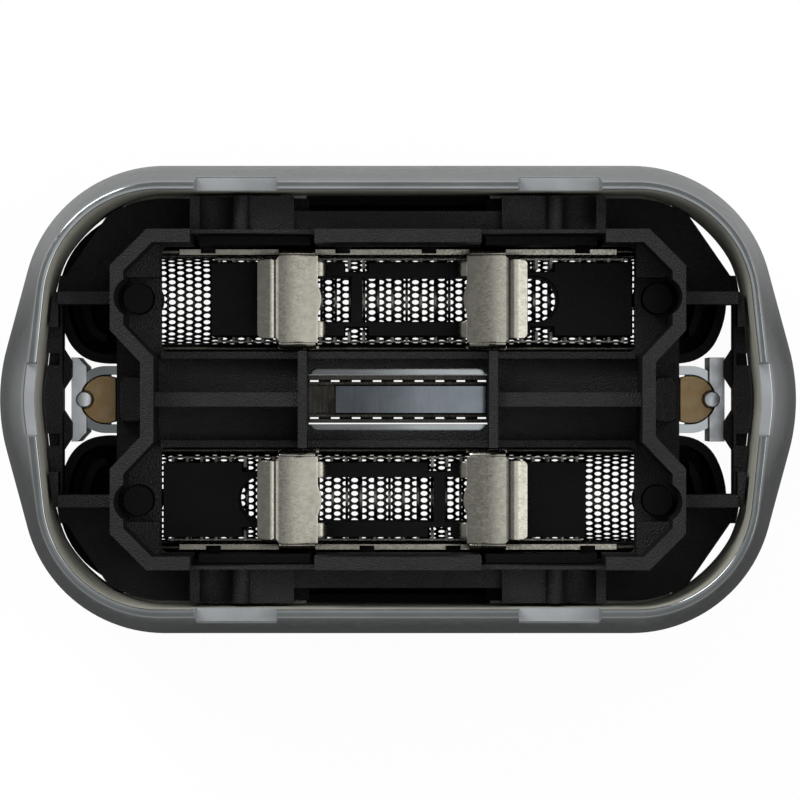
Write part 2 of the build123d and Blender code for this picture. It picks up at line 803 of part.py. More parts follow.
def make_blade(name):
    """Arched blade under the foil, slotted into bars."""
    inset = blade_inset
    thick = blade_inset + blade_thickness
    with BuildPart() as blade:
        with BuildSketch(across[name].offset(cutter_travel)) as profile:
            arch(
                foil_half_width - inset,
                foil_crown_radius - inset,
                foil_shoulder_radius - inset,
                inset,
                blade_height,
            )
            arch_inner(thick)
        extrude(profile.sketch, amount=cutter_half_length - end_clearance, both=True)
        pitch = 2 * (cutter_half_length - end_clearance - blade_bar) / blade_slots
        with BuildSketch(along[name].offset(-foil_axis)) as slots:
            with Locations((cutter_travel, slot_top / 2)):
                with GridLocations(pitch, 1, blade_slots, 1):
                    Rectangle(pitch - blade_bar, slot_top)
        extrude(slots.sketch, amount=foil_half_width, both=True, mode=Mode.SUBTRACT)
    return blade


def arch_inner(thick):
    """Takes the inside of an arch out of the current profile."""
    with BuildSketch() as core:
        arch(
            foil_half_width - thick,
            foil_crown_radius - thick,
            foil_shoulder_radius - thick,
            thick,
            blade_height + over,
        )
    add(core.sketch, mode=Mode.SUBTRACT)


def make_carrier(name):
    """Black carrier: end blocks with round notches, two notched rails and two crossbars."""
    opening_half = carrier_half_width - carrier_rail
    block_inner = cutter_half_length - carrier_block
    with BuildPart() as carrier:
        with BuildSketch(sides[name].offset(carrier_floor)) as plan:
            with Locations((cutter_travel, foil_axis)):
                Rectangle(2 * cutter_half_length, 2 * carrier_half_width)
                Rectangle(2 * (block_inner - opening_half), 2 * opening_half, mode=Mode.SUBTRACT)
            for end in (1, -1):
                with Locations((cutter_travel + end * (block_inner - opening_half), foil_axis)):
                    Circle(opening_half, mode=Mode.SUBTRACT)
            with Locations((cutter_travel, foil_axis)):
                with GridLocations(2 * crossbar_offset, 1, 2, 1):
                    Rectangle(crossbar_width, 2 * opening_half + fit)
                for notch_x in (crossbar_offset, rail_notch_offset):
                    with GridLocations(2 * notch_x, 2 * carrier_half_width, 2, 2):
                        Rectangle(rail_notch_length, 2 * rail_notch_depth, mode=Mode.SUBTRACT)
        extrude(plan.sketch, amount=carrier_height - carrier_floor)
    return carrier


# The two foil units and their cutters
made = {"outer_frame": outer_frame, "inner_frame": inner_frame}
for name in sides:
    made["foil_frame_" + name] = make_foil_frame(name)
    made["foil_" + name] = make_foil(name)
    made["foil_retainer_" + name] = make_retainer(name)
    made["cutter_carrier_" + name] = make_carrier(name)
    made["cutter_blade_" + name] = make_blade(name)

# Trimmer guard: a trough with round ends, cross walls past them and a pin at each wall
with BuildPart() as trimmer_guard:
    with BuildSketch(Plane.XY.offset(guard_floor)):
        SlotCenterToCenter(2 * guard_centre, 2 * guard_half_width)
    extrude(amount=guard_height - guard_floor)
    with BuildSketch(Plane.XY.offset(guard_floor)):
        for end in (1, -1):
            with Locations((end * (guard_end - guard_end_wall / 2), 0)):
                Rectangle(guard_end_wall, 2 * guard_end_half)
            for side in (1, -1):
                with Locations((unit_shift + end * unit_end_x, side * foil_axis)):
                    Circle(unit_end_radius + guard_gap, mode=Mode.SUBTRACT)
    extrude(amount=guard_end_height - guard_floor)
    lowest = trimmer_guard.faces().sort_by(Axis.Z)[0]
    fillet(lowest.edges(), guard_edge)
    with BuildSketch(Plane.XY.offset(guard_floor)):
        Rectangle(2 * (guard_centre - floor_web), 2 * trough_half_width)
    extrude(amount=guard_height, mode=Mode.SUBTRACT)
    with BuildSketch(Plane.XY.offset(holder_base)):
        SlotCenterToCenter(2 * guard_centre, 2 * trough_half_width)
    extrude(amount=guard_height, mode=Mode.SUBTRACT)
    with BuildSketch(Plane.XY.offset(holder_base)):
        with Locations((pin_x, 0), (-pin_x, 0)):
            Circle(pin_radius)
    extrude(amount=guard_end_height + pin_rise - holder_base)
    highest = trimmer_guard.faces().sort_by(Axis.Z)[-2:]
    fillet(highest.edges(), pin_dome)
made["trimmer_guard"] = trimmer_guard

# Trimmer comb: a channel with teeth along both edges
with BuildPart() as trimmer_comb:
    with BuildSketch(Plane.YZ):
        with Locations((0, comb_floor)):
            Rectangle(2 * comb_half_width, comb_height - comb_floor, align=(Align.CENTER, Align.MIN))
        with Locations((0, comb_floor + comb_sheet)):
            Rectangle(
                2 * (comb_half_width - comb_sheet),
                comb_height,
                align=(Align.CENTER, Align.MIN),
                mode=Mode.SUBTRACT,
            )
    extrude(amount=comb_half_length, both=True)
    comb_slots = int(2 * (comb_half_length - comb_plain_end) / comb_pitch)
    for side in (1, -1):
        with BuildSketch(Plane.XY):
            with Locations((0, side * comb_half_width)):
                with GridLocations(comb_pitch, 1, comb_slots, 1):
                    Rectangle(comb_slot, 2 * comb_tooth)
        extrude(amount=comb_slot_height, mode=Mode.SUBTRACT)
made["trimmer_comb"] = trimmer_comb

# Trimmer blade and its slider
with BuildPart() as trimmer_blade:
    trim_floor = comb_floor + comb_sheet + trim_clearance
    with BuildSketch(Plane.YZ):
        with Locations((0, trim_floor)):
            Rectangle(2 * trim_half_width, trim_blade_height - trim_floor, align=(Align.CENTER, Align.MIN))
        with Locations((0, trim_floor + comb_sheet)):
            Rectangle(
                2 * (trim_half_width - comb_sheet),
                comb_height,
                align=(Align.CENTER, Align.MIN),
                mode=Mode.SUBTRACT,
            )
    extrude(amount=trim_half_length, both=True)
    trim_slots = int(2 * (trim_half_length - trim_plain_end) / trim_pitch)
    for side in (1, -1):
        with BuildSketch(Plane.XY):
            with Locations((0, side * trim_half_width)):
                with GridLocations(trim_pitch, 1, trim_slots, 1):
                    Rectangle(comb_slot, comb_tooth)
        extrude(amount=comb_slot_height, mode=Mode.SUBTRACT)
made["trimmer_blade"] = trimmer_blade

with BuildPart() as trimmer_slider:
    slider_half = trim_half_width - comb_sheet - fit / 2
    with BuildSketch(Plane.XY.offset(trim_floor + comb_sheet)):
        with Locations((slider_offset, 0)):
            Rectangle(slider_length, 2 * slider_half)
    extrude(amount=slider_height - trim_floor - comb_sheet)
made["trimmer_slider"] = trimmer_slider

# Holders, latches and springs at both ends of the trimmer
for word, end in (("left", -1), ("right", 1)):
    with BuildPart() as holder:
        with BuildSketch(Plane.XY.offset(holder_base)):
            with Locations((end * guard_centre, 0)):
                Circle(trough_half_width - holder_clearance)
            with Locations((end * (guard_centre - holder_trim), 0)):
                Rectangle(
                    2 * guard_half_width,
                    2 * guard_half_width,
                    align=(Align.MAX if end > 0 else Align.MIN, Align.CENTER),
                    mode=Mode.SUBTRACT,
                )
        extrude(amount=holder_height - holder_base)
        with BuildSketch(Plane.XY.offset(holder_base)):
            with Locations((end * pin_x, 0)):
                Circle(pin_radius + fit)
        extrude(amount=holder_height, mode=Mode.SUBTRACT)
    made["trimmer_holder_" + word] = holder
    with BuildPart() as latch:
        with BuildSketch(Plane.XY.offset(comb_height)):
            with Locations((end * (comb_half_length - latch_length / 2), 0)):
                Rectangle(latch_length, 2 * (trough_half_width - holder_clearance))
        extrude(amount=latch_base_height - comb_height)
        with BuildSketch(Plane.XY.offset(latch_base_height)):
            with Locations((end * latch_x, 0)):
                Rectangle(latch_neck, 2 * (latch_head_half - latch_overlap - latch_play))
        extrude(amount=plate_top - latch_base_height)
        with BuildSketch(Plane.XY.offset(plate_top)):
            with Locations((end * latch_x, 0)):
                RectangleRounded(latch_head_length, 2 * latch_head_half, latch_head_corner)
        extrude(amount=latch_head_height)
    made["trimmer_latch_" + word] = latch
    with BuildPart() as spring:
        spring_x = end * (comb_half_length - latch_length + spring_span / 2 + spring_end_gap)
        with BuildSketch(Plane.XZ):
            with BuildLine():
                ThreePointArc(
                    (spring_x - spring_span / 2, latch_base_height),
                    (spring_x, plate_height),
                    (spring_x + spring_span / 2, latch_base_height),
                )
                Line(
                    (spring_x + spring_span / 2, latch_base_height),
                    (spring_x + spring_span / 2 - spring_sheet, latch_base_height),
                )
                ThreePointArc(
                    (spring_x + spring_span / 2 - spring_sheet, latch_base_height),
                    (spring_x, plate_height - spring_sheet),
                    (spring_x - spring_span / 2 + spring_sheet, latch_base_height),
                )
                Line(
                    (spring_x - spring_span / 2 + spring_sheet, latch_base_height),
                    (spring_x - spring_span / 2, latch_base_height),
                )
            make_face()
        extrude(amount=spring_width / 2, both=True)
    made["trimmer_spring_" + word] = spring

# Each piece is written under its own name
os.makedirs("parts", exist_ok=True)
for label, piece in made.items():
    piece.part.label = label
    export_step(piece.part, "parts/" + label + ".step")
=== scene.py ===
"""Looks of a shaver foil head, seen from the side that goes onto the handle.

Metres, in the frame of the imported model: X along the head, Z from the foils up to the handle side.
"""
import json

import bmesh
import bpy
import numpy as np
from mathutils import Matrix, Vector

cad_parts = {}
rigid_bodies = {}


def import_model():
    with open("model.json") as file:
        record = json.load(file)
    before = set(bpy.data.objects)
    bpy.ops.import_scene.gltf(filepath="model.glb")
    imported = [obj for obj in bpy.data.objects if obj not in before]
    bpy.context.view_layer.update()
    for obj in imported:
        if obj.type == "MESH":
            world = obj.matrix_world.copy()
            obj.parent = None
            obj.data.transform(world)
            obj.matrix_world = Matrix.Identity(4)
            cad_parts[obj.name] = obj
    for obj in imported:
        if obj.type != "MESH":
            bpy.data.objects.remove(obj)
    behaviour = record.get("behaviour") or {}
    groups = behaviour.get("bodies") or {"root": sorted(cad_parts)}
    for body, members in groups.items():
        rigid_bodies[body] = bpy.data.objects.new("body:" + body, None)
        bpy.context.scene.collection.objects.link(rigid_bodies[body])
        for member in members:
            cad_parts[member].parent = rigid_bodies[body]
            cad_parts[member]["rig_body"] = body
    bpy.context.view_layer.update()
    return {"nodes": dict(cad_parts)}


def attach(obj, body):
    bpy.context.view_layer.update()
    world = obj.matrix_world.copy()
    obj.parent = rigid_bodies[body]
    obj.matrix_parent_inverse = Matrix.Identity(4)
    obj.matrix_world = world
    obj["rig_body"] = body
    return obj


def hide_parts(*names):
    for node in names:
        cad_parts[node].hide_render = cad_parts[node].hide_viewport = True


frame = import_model()
MM = 0.001

# Plated shell, in millimetres
HEAD_HALF_LENGTH = 22.995
HEAD_HALF_WIDTH = 13.5
RIM_Z = 17.5
BELT_Z = 8.0
FACE_Z = 2.6
CORNER_RADIUS = 8.2
NOSE_RADIUS = 11.4
BELT_RAKE = 15.3
RIM_RAKE = 6.0
RIM_LEAN_X = 2.25
RIM_LEAN_Y = 1.4
FACE_LEAN = 0.9
RIM_WALL = 0.35
FACE_WALL = 0.6
EDGE_ROUND = 0.07
RIM_SLANT = 0.38
CORNER_LEAN = 0.18
NOTCH_CENTRE = 9.1
NOTCH_HALF = 2.3
NOTCH_DEPTH = 2.2
REBATE_HALF = 2.05
REBATE_DEPTH = 0.9
STEP_RUN = 0.05
RIM_ROW = 28
SEAT_INNER = 5.3
SEAT_END = 15.7
COLLAR_Z = 7.7
SEAT_TOP = 8.6
SEAT_THICKNESS = 0.9
SEAT_REACH = 0.9
SEAT_ROOT = 0.3
SEAT_CUT = 0.2
SEAT_EDGE = 0.1

# Foils and cutter blades, in millimetres
FOIL_AXIS = 5.77
FOIL_HALF_WIDTH = 2.65
CROWN_RADIUS = 3.3
SHOULDER_RADIUS = 1.9
LEG_TOP = 6.6
FLANGE = 0.4
FOIL_HALF_LENGTH = 14.35
FOIL_THICKNESS = 0.08
HOLE_PITCH_X = 0.515
HOLE_PITCH_S = 0.41
HOLE_HALF_LENGTH = 0.205
HOLE_HALF_HEIGHT = 0.15
PERFORATED_COLUMNS = 55
PERFORATED_ROWS = 32
BLADE_INSET = 0.2
BLADE_DEPTH = 0.62
BLADE_TOP = 5.8
BLADE_PITCH = 0.84
BLADE_COUNT = 29
BLADE_THICKNESS = 0.16
BLADE_CENTRE = 1.35
BAND_FOOT = 4.4
BAND_THICKNESS = 0.08
BAND_SINK = 0.02
CUTTER_HALF_LENGTH = 12.05

# Foil retainers, in millimetres
RETAINER_TOP = 11.2
RETAINER_SHIFT = -0.32
SHEET = 0.2
MOUTH_HALF = 4.25
CROSS_LENGTH = 2.4
CURL_LENGTH = 1.1
CURL_RISE = 0.27
CURL_SKEW = 0.62
CURL_FALL = 0.3
MOUTH_DROP = 0.2
MOUTH_BEND = 2.2
PLATE_CROWN = 0.06
MOUTH_WAVE = 0.2
WAVE_HALF = 0.95
WAVE_REACH = 0.5
PLATE_HALF_WIDTH = 2.83
CURL_HALF_WIDTH = 2.28
TIP_ROUND = 0.3
TIP_START = 0.75
PLATE_STEP = 0.12
LEG_BEND = 0.3
LEG_INSET = 0.15
FINGER_OFFSET = 1.75
FINGER_HALF_WIDTH = 0.47
FINGER_RUN = 0.6
FINGER_TURN = 75.0
FINGER_LAP = 0.05
FOOT_UNDER = 0.2
FOOT_TRIM = 0.25
STRIP_HALF_LENGTH = 12.7
STRIP_WIDTH = 0.36
STRIP_Z = 6.85
STRIP_TILT = 0.02
STRIP_LAP = 0.05

# Trimmer comb and guard, in millimetres
COMB_REAR_REACH = 0.12
COMB_FRONT_REACH = 0.05
GUARD_STRIP = 12.0
GUARD_RING = 17.85
PIN_X = 18.24
PIN_FOOT = 6.05
PIN_RADIUS = 0.48
PIN_ROUND = 0.3
PIN_SEARCH = 1.1
COMB_EDGE_BAND = 0.02

# Rounded edges of the pieces, in millimetres, and the angles that count as hard, in degrees
MOULDED_EDGE = 0.1
CARRIER_EDGE = 0.08
SLIDER_EDGE = 0.06
GUARD_EDGE = 0.05
STAMPED_EDGE = 0.03
EDGE_SEGMENTS = 2
EDGE_ANGLE = 35
SHARP_ANGLE = 40
FLAT_ANGLE = 1.0
MERGE_DISTANCE = 0.002
SMALLEST = 0.01

# Clouds and grain of the materials: where the noise changes colour, and sizes in millimetres
CLOUD_FROM = 0.35
CLOUD_TO = 0.65
MOULD_GRAIN = 0.1
ROLLING_LINES = 0.12

# White table, and the painted shade in its mirror image in the plating: places across the object with their
# brightness, and how it brightens away from the object
FLOOR_HALF = 2.0
FLOOR_Z = -0.02
TABLE_WHITE = 0.96
TABLE_MATT = 0.04
TABLE_REACH = 20.0
PAINTED_MIRROR_SHADE = ((0.15, 0.05), (0.4, 0.09), (0.62, 0.12), (0.8, 0.36))
TABLE_CORE = (15.0, 5.3, 0.0)
TABLE_DARK = 12.5
TABLE_BRIGHT = 21.5
TABLE_GAIN = 0.52

# Camera: straight above, far enough for the little perspective of the picture
CAMERA_HEIGHT = 308.0
CAMERA_X = 0.116
CAMERA_Y = -0.029
LENS = 233.6
CAMERA_CLIP = 0.01

# Surroundings, and softboxes: name, place and target in metres, width, depth and brightness
SURROUND_GREY = 0.9
SURROUND_STRENGTH = 0.42
SOFTBOXES = (
    ("key", (-0.34, 0.46, 0.42), (0, 0, 0), 0.36, 0.36, 8.0),
    ("top_right", (0.3, 0.0, 0.7), (0.3, 0, 0), 0.6, 0.8, 1.1),
    ("right", (0.52, 0.0, 0.46), (0, 0, 0), 0.5, 0.3, 2.2),
)


def linear(hex_colour):
    """sRGB hex to linear RGBA: by the standard curve, straight at its foot and a power above."""
    channels = np.array([int(hex_colour[i:i + 2], 16) for i in (1, 3, 5)]) / 255
    curved = np.where(channels <= 0.04045, channels / 12.92, ((channels + 0.055) / 1.055) ** 2.4)
    return (*curved.tolist(), 1.0)


def add_node(tree, kind, links=(), values=(), **settings):
    """Adds one node: its properties from settings, its inputs from values, and links as (input, source)."""
    made = tree.nodes.new(kind)
    for key, value in settings.items():
        setattr(made, key, value)
    for socket, value in dict(values).items():
        made.inputs[socket].default_value = value
    for socket, source in dict(links).items():
        tree.links.new(source, made.inputs[socket])
    return made


def new_material(name):
    """An empty node material with its output, its surface shader and the object's own coordinates."""
    material = bpy.data.materials.new(name)
    material.use_nodes = True
    tree = material.node_tree
    tree.nodes.clear()
    shader = add_node(tree, "ShaderNodeBsdfPrincipled")
    add_node(tree, "ShaderNodeOutputMaterial", {"Surface": shader.outputs["BSDF"]})
    place = add_node(tree, "ShaderNodeTexCoord").outputs["Object"]
    return material, tree, shader, place


def per_metre(size_mm):
    """Noise scale whose blotches measure about size_mm."""
    return 1 / (size_mm * MM)


def mottled(tree, place, size_mm, low, high, detail=3.0, stretch=(1, 1, 1)):
    """Two colours or greys mixed by a noise of the given size, stretched along the axes."""
    mapping = add_node(tree, "ShaderNodeMapping", {"Vector": place}, {"Scale": stretch})
    noise = add_node(tree, "ShaderNodeTexNoise", {"Vector": mapping.outputs["Vector"]},
                     {"Scale": per_metre(size_mm), "Detail": detail})
    ramp = add_node(tree, "ShaderNodeValToRGB", {"Fac": noise.outputs["Fac"]})
    ramp.color_ramp.elements[0].position = CLOUD_FROM
    ramp.color_ramp.elements[1].position = CLOUD_TO
    ramp.color_ramp.elements[0].color = low
    ramp.color_ramp.elements[1].color = high
    return ramp.outputs["Color"], noise.outputs["Fac"]


def grey(level):
    """A linear grey as a colour."""
    return (level, level, level, 1.0)


def satin_chrome_on_abs(name, dark, light, roughness):
    """Satin plating on moulded ABS: a soft grey mirror with faint clouds from the plating bath."""
    material, tree, shader, place = new_material(name)
    colour, _ = mottled(tree, place, 3.5, linear(dark), linear(light))
    tree.links.new(colour, shader.inputs["Base Color"])
    rough, fine = mottled(tree, place, 0.5, grey(roughness - 0.05), grey(roughness + 0.06))
    tree.links.new(rough, shader.inputs["Roughness"])
    bump = add_node(tree, "ShaderNodeBump", {"Height": fine}, {"Strength": 0.06, "Distance": 0.02 * MM})
    tree.links.new(bump.outputs["Normal"], shader.inputs["Normal"])
    shader.inputs["Metallic"].default_value = 1.0
    return material


def bare_grey_abs(name, dark, light):
    """Grey plastic left bare, or lacquered: a matt skin with faint clouds."""
    material, tree, shader, place = new_material(name)
    colour, fine = mottled(tree, place, 2.0, linear(dark), linear(light))
    tree.links.new(colour, shader.inputs["Base Color"])
    bump = add_node(tree, "ShaderNodeBump", {"Height": fine}, {"Strength": 0.1, "Distance": 0.03 * MM})
    tree.links.new(bump.outputs["Normal"], shader.inputs["Normal"])
    shader.inputs["Roughness"].default_value = 0.45
    shader.inputs["IOR"].default_value = 1.5
    return material


def grained_black_abs(name, dark, light, depth, shine):
    """Black plastic from a spark-eroded mould: matt, with a fine grain of about a tenth of a millimetre whose
    depth sets how much the surface sparkles."""
    material, tree, shader, place = new_material(name)
    colour, _ = mottled(tree, place, 1.6, linear(dark), linear(light))
    tree.links.new(colour, shader.inputs["Base Color"])
    rough, grain = mottled(tree, place, MOULD_GRAIN, grey(0.42), grey(0.62), 2.0)
    tree.links.new(rough, shader.inputs["Roughness"])
    bump = add_node(tree, "ShaderNodeBump", {"Height": grain}, {"Strength": depth, "Distance": 0.1 * MM})
    tree.links.new(bump.outputs["Normal"], shader.inputs["Normal"])
    shader.inputs["IOR"].default_value = 1.5
    shader.inputs["Specular IOR Level"].default_value = shine
    return material


def rolled_steel(name, dark, light, roughness, stretch, blotch_mm, relief=0.1, spread=0.08):
    """Rolled steel: a grey metal with faint clouds and fine lines drawn out along its rolling direction."""
    material, tree, shader, place = new_material(name)
    colour, _ = mottled(tree, place, blotch_mm, linear(dark), linear(light), 4.0)
    tree.links.new(colour, shader.inputs["Base Color"])
    rough, lines = mottled(tree, place, ROLLING_LINES, grey(roughness - spread), grey(roughness + spread),
                           3.0, stretch)
    tree.links.new(rough, shader.inputs["Roughness"])
    bump = add_node(tree, "ShaderNodeBump", {"Height": lines}, {"Strength": relief, "Distance": 0.01 * MM})
    tree.links.new(bump.outputs["Normal"], shader.inputs["Normal"])
    shader.inputs["Metallic"].default_value = 1.0
    return material


def smooth_acetal(name, dark, light):
    """Natural tan acetal, moulded smooth: a waxy plastic with a little light in its skin."""
    material, tree, shader, place = new_material(name)
    colour, fine = mottled(tree, place, 0.8, linear(dark), linear(light))
    tree.links.new(colour, shader.inputs["Base Color"])
    bump = add_node(tree, "ShaderNodeBump", {"Height": fine}, {"Strength": 0.1, "Distance": 0.03 * MM})
    tree.links.new(bump.outputs["Normal"], shader.inputs["Normal"])
    shader.inputs["Roughness"].default_value = 0.38
    shader.inputs["IOR"].default_value = 1.48
    shader.inputs["Subsurface Weight"].default_value = 0.15
    shader.inputs["Subsurface Radius"].default_value = (0.6 * MM, 0.4 * MM, 0.2 * MM)
    return material


def piece_from(name, points, faces, material, body, stands_for):
    """Puts points in millimetres and faces into a smooth mesh that rides on a body and stands for a node."""
    mesh = bpy.data.meshes.new(name)
    mesh.from_pydata((np.asarray(points) * MM).tolist(), [], [list(face) for face in faces])
    mesh.validate()
    mesh.shade_smooth()
    made = bpy.data.objects.new(name, mesh)
    bpy.context.scene.collection.objects.link(made)
    mesh.materials.append(material)
    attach(made, body)
    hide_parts(stands_for)
    return made


def grid_quads(rows, columns, close_rows=False, close_columns=False):
    """Quads of a grid of points numbered row by row, closed round either way where asked."""
    row = np.arange(rows if close_rows else rows - 1)[:, None]
    column = np.arange(columns if close_columns else columns - 1)[None, :]
    below = (row + 1) % rows
    right = (column + 1) % columns
    corners = (row * columns + column, row * columns + right,
               below * columns + right, below * columns + column)
    return np.stack(np.broadcast_arrays(*corners), -1).reshape(-1, 4)


def merged(points, faces):
    """Joins points that fall together, so that neighbouring cells share their edges."""
    keys = np.round(np.asarray(points) * 2e4).astype(np.int64)
    _, first, inverse = np.unique(keys, axis=0, return_index=True, return_inverse=True)
    inverse = inverse.reshape(-1)
    return np.asarray(points)[first], [[int(inverse[i]) for i in face] for face in faces]


# Plan of the shell: columns of sample points round one quarter, from the middle of a long side to an end
LEDGES = (NOTCH_CENTRE - NOTCH_HALF, NOTCH_CENTRE + NOTCH_HALF)
SIDE_X = np.sort(np.concatenate([
    np.linspace(0, LEDGES[0] - 0.4, 7),
    np.array([[edge - STEP_RUN, edge + STEP_RUN] for edge in LEDGES]).ravel(),
    np.linspace(LEDGES[0] + 0.5, LEDGES[1] - 0.5, 6),
    [LEDGES[1] + 0.4],
]))
SIDE, BLEND, CORNER, FLANK, NOSE = range(5)
SIDE_BLEND = np.linspace(0, 1, 4)[1:]
CORNER_TURN = np.linspace(0, 1, 25)[1:]
FLANK_BLEND = np.linspace(0, 1, 8)[1:-1]
END_Y = np.array([REBATE_HALF + 0.5, REBATE_HALF + STEP_RUN, REBATE_HALF - STEP_RUN, 1.6, 1.2, 0.8, 0.4, 0])
COUNTS = [SIDE_X.size, SIDE_BLEND.size, CORNER_TURN.size, FLANK_BLEND.size, END_Y.size]
KINDS = np.repeat([SIDE, BLEND, CORNER, FLANK, NOSE], COUNTS)
VALUES = np.concatenate([SIDE_X, SIDE_BLEND, CORNER_TURN, FLANK_BLEND, END_Y])


def quarter_plan(length, width, corner, nose, rake):
    """Quarter outline for columns of sizes: a straight side, a corner arc down to the flank's normal at angle
    rake, the straight flank, and a nose arc of its own radius across the end."""
    turn = np.radians(rake)
    flank = (length - nose) * np.cos(turn) + nose
    corner_y = width - corner
    corner_x = (flank - corner - corner_y * np.sin(turn)) / np.cos(turn)
    arc = np.pi / 2 + (turn - np.pi / 2) * VALUES
    flank_top = corner_y + corner * np.sin(turn)
    flank_y = flank_top + (END_Y[0] - flank_top) * VALUES
    along = np.select([KINDS == FLANK, KINDS == NOSE], [flank_y, VALUES + 0 * width], 0)
    on_nose = length - nose + np.sqrt(np.maximum(nose ** 2 - along ** 2, 0))
    on_flank = (flank - along * np.sin(turn)) / np.cos(turn)
    end_x = np.where(np.abs(along) <= nose * np.sin(turn), on_nose, on_flank)
    blend_x = SIDE_X[-1] + (corner_x - SIDE_X[-1]) * VALUES
    arc_x = corner_x + corner * np.cos(arc)
    arc_y = corner_y + corner * np.sin(arc)
    kinds = [KINDS == SIDE, KINDS == BLEND, KINDS == CORNER]
    x = np.select(kinds, [VALUES + 0 * width, blend_x, arc_x], end_x)
    y = np.select(kinds, [width + 0 * VALUES, width + 0 * VALUES, arc_y], along)
    return x, y


def outside_plan(z, inset):
    """Outside of the shell: it leans in by the square of the way down to the face, and by the 1.5th power of
    the way up to the rim, and inset moves it in parallel."""
    down = np.clip((BELT_Z - z) / (BELT_Z - FACE_Z), 0, 1) ** 2
    up = np.clip((z - BELT_Z) / (RIM_Z - BELT_Z), 0, 1) ** 1.5
    lean_x = FACE_LEAN * down + RIM_LEAN_X * up + inset
    lean_y = FACE_LEAN * down + RIM_LEAN_Y * up + inset
    rake = BELT_RAKE + (RIM_RAKE - BELT_RAKE) * up
    return quarter_plan(HEAD_HALF_LENGTH - lean_x, HEAD_HALF_WIDTH - lean_y, CORNER_RADIUS - lean_y,
                        NOSE_RADIUS - lean_x, rake)


def collar_plan(z, inset):
    """Inside wall from the inner frame up to the rim, upright but for its corners, which come in towards the
    foot by the square of the depth and of the sine of the way round; inset moves it outwards in parallel."""
    length = HEAD_HALF_LENGTH - RIM_LEAN_X - RIM_WALL + inset
    rim_y = HEAD_HALF_WIDTH - RIM_LEAN_Y - RIM_WALL + inset
    corner = CORNER_RADIUS - RIM_LEAN_Y - RIM_WALL + inset
    x, y = quarter_plan(length, rim_y, corner, NOSE_RADIUS - RIM_LEAN_X, RIM_RAKE + 0 * inset)
    depth = np.clip((RIM_Z - z) / (RIM_Z - COLLAR_Z), 0, 1)
    lean = CORNER_LEAN * depth ** 2 * np.where(KINDS == CORNER, np.sin(np.pi * VALUES) ** 2, 0)
    return x - lean * np.sqrt(0.5), y - lean * np.sqrt(0.5)


def opening_plan(inset):
    """Wider upright opening for the foil units, under the collar; inset moves it outwards in parallel."""
    length = HEAD_HALF_LENGTH - FACE_LEAN - FACE_WALL + inset
    face_y = HEAD_HALF_WIDTH - FACE_LEAN - FACE_WALL + inset
    corner = CORNER_RADIUS - FACE_LEAN - FACE_WALL + inset
    return quarter_plan(length, face_y, corner, NOSE_RADIUS - RIM_LEAN_X, BELT_RAKE + 0 * inset)


def shell_rows():
    """Rows of the shell's section, from the face up the outside, over the slanted rim and down the inside.

    The rim's height depends on the column: it drops in the notches and in the end rebates."""
    in_notch = (KINDS == SIDE) & (np.abs(VALUES - NOTCH_CENTRE) < NOTCH_HALF)
    in_rebate = (KINDS == NOSE) & (VALUES < REBATE_HALF)
    top = RIM_Z - NOTCH_DEPTH * in_notch - REBATE_DEPTH * in_rebate
    brow = top - RIM_SLANT * ~(in_notch | in_rebate)
    rows = []
    for share in np.linspace(0, 1, 26):
        z = FACE_Z + EDGE_ROUND + (brow - FACE_Z - 2 * EDGE_ROUND) * share
        rows.append((*outside_plan(z, 0 * z), z))
    for turn in np.radians([30, 60, 90]):
        z = brow - EDGE_ROUND * (1 - np.sin(turn))
        rows.append((*outside_plan(z, 0 * z + EDGE_ROUND * (1 - np.cos(turn))), z))
    for turn in np.radians([90, 60, 30, 0]):
        z = top - EDGE_ROUND * (1 - np.sin(turn))
        rows.append((*collar_plan(z, 0 * z + EDGE_ROUND * (1 - np.cos(turn))), z))
    outside_rows = len(rows)
    for share in np.linspace(1, 0, 10)[1:]:
        z = COLLAR_Z + EDGE_ROUND + (top - COLLAR_Z - 2 * EDGE_ROUND) * share
        rows.append((*collar_plan(z, 0 * z), z))
    rows.append((*collar_plan(COLLAR_Z, EDGE_ROUND + 0 * top), COLLAR_Z + 0 * top))
    rows.append((*opening_plan(0 * top), COLLAR_Z + 0 * top))
    for z in np.linspace(COLLAR_Z, FACE_Z + EDGE_ROUND, 5)[1:]:
        rows.append((*opening_plan(0 * top), z + 0 * top))
    for turn in np.radians([45, 90]):
        z = FACE_Z + EDGE_ROUND * (1 - np.sin(turn)) + 0 * top
        rows.append((*opening_plan(EDGE_ROUND * (1 - np.cos(turn)) + 0 * top), z))
    for turn in np.radians([90, 45]):
        z = FACE_Z + EDGE_ROUND * (1 - np.sin(turn)) + 0 * top
        rows.append((*outside_plan(z, EDGE_ROUND * (1 - np.cos(turn)) + 0 * top), z))
    return np.array(rows).transpose(0, 2, 1), outside_rows


def all_round(quarter):
    """The quarter mirrored about both middle lines into one loop, without doubling the points on them."""
    back = quarter[:, ::-1]
    right_front = (back * [1, -1, 1])[:, 1:]
    left_front = (quarter * [-1, -1, 1])[:, 1:]
    left_rear = (back * [-1, 1, 1])[:, 1:-1]
    return np.concatenate([quarter, right_front, left_front, left_rear], 1)


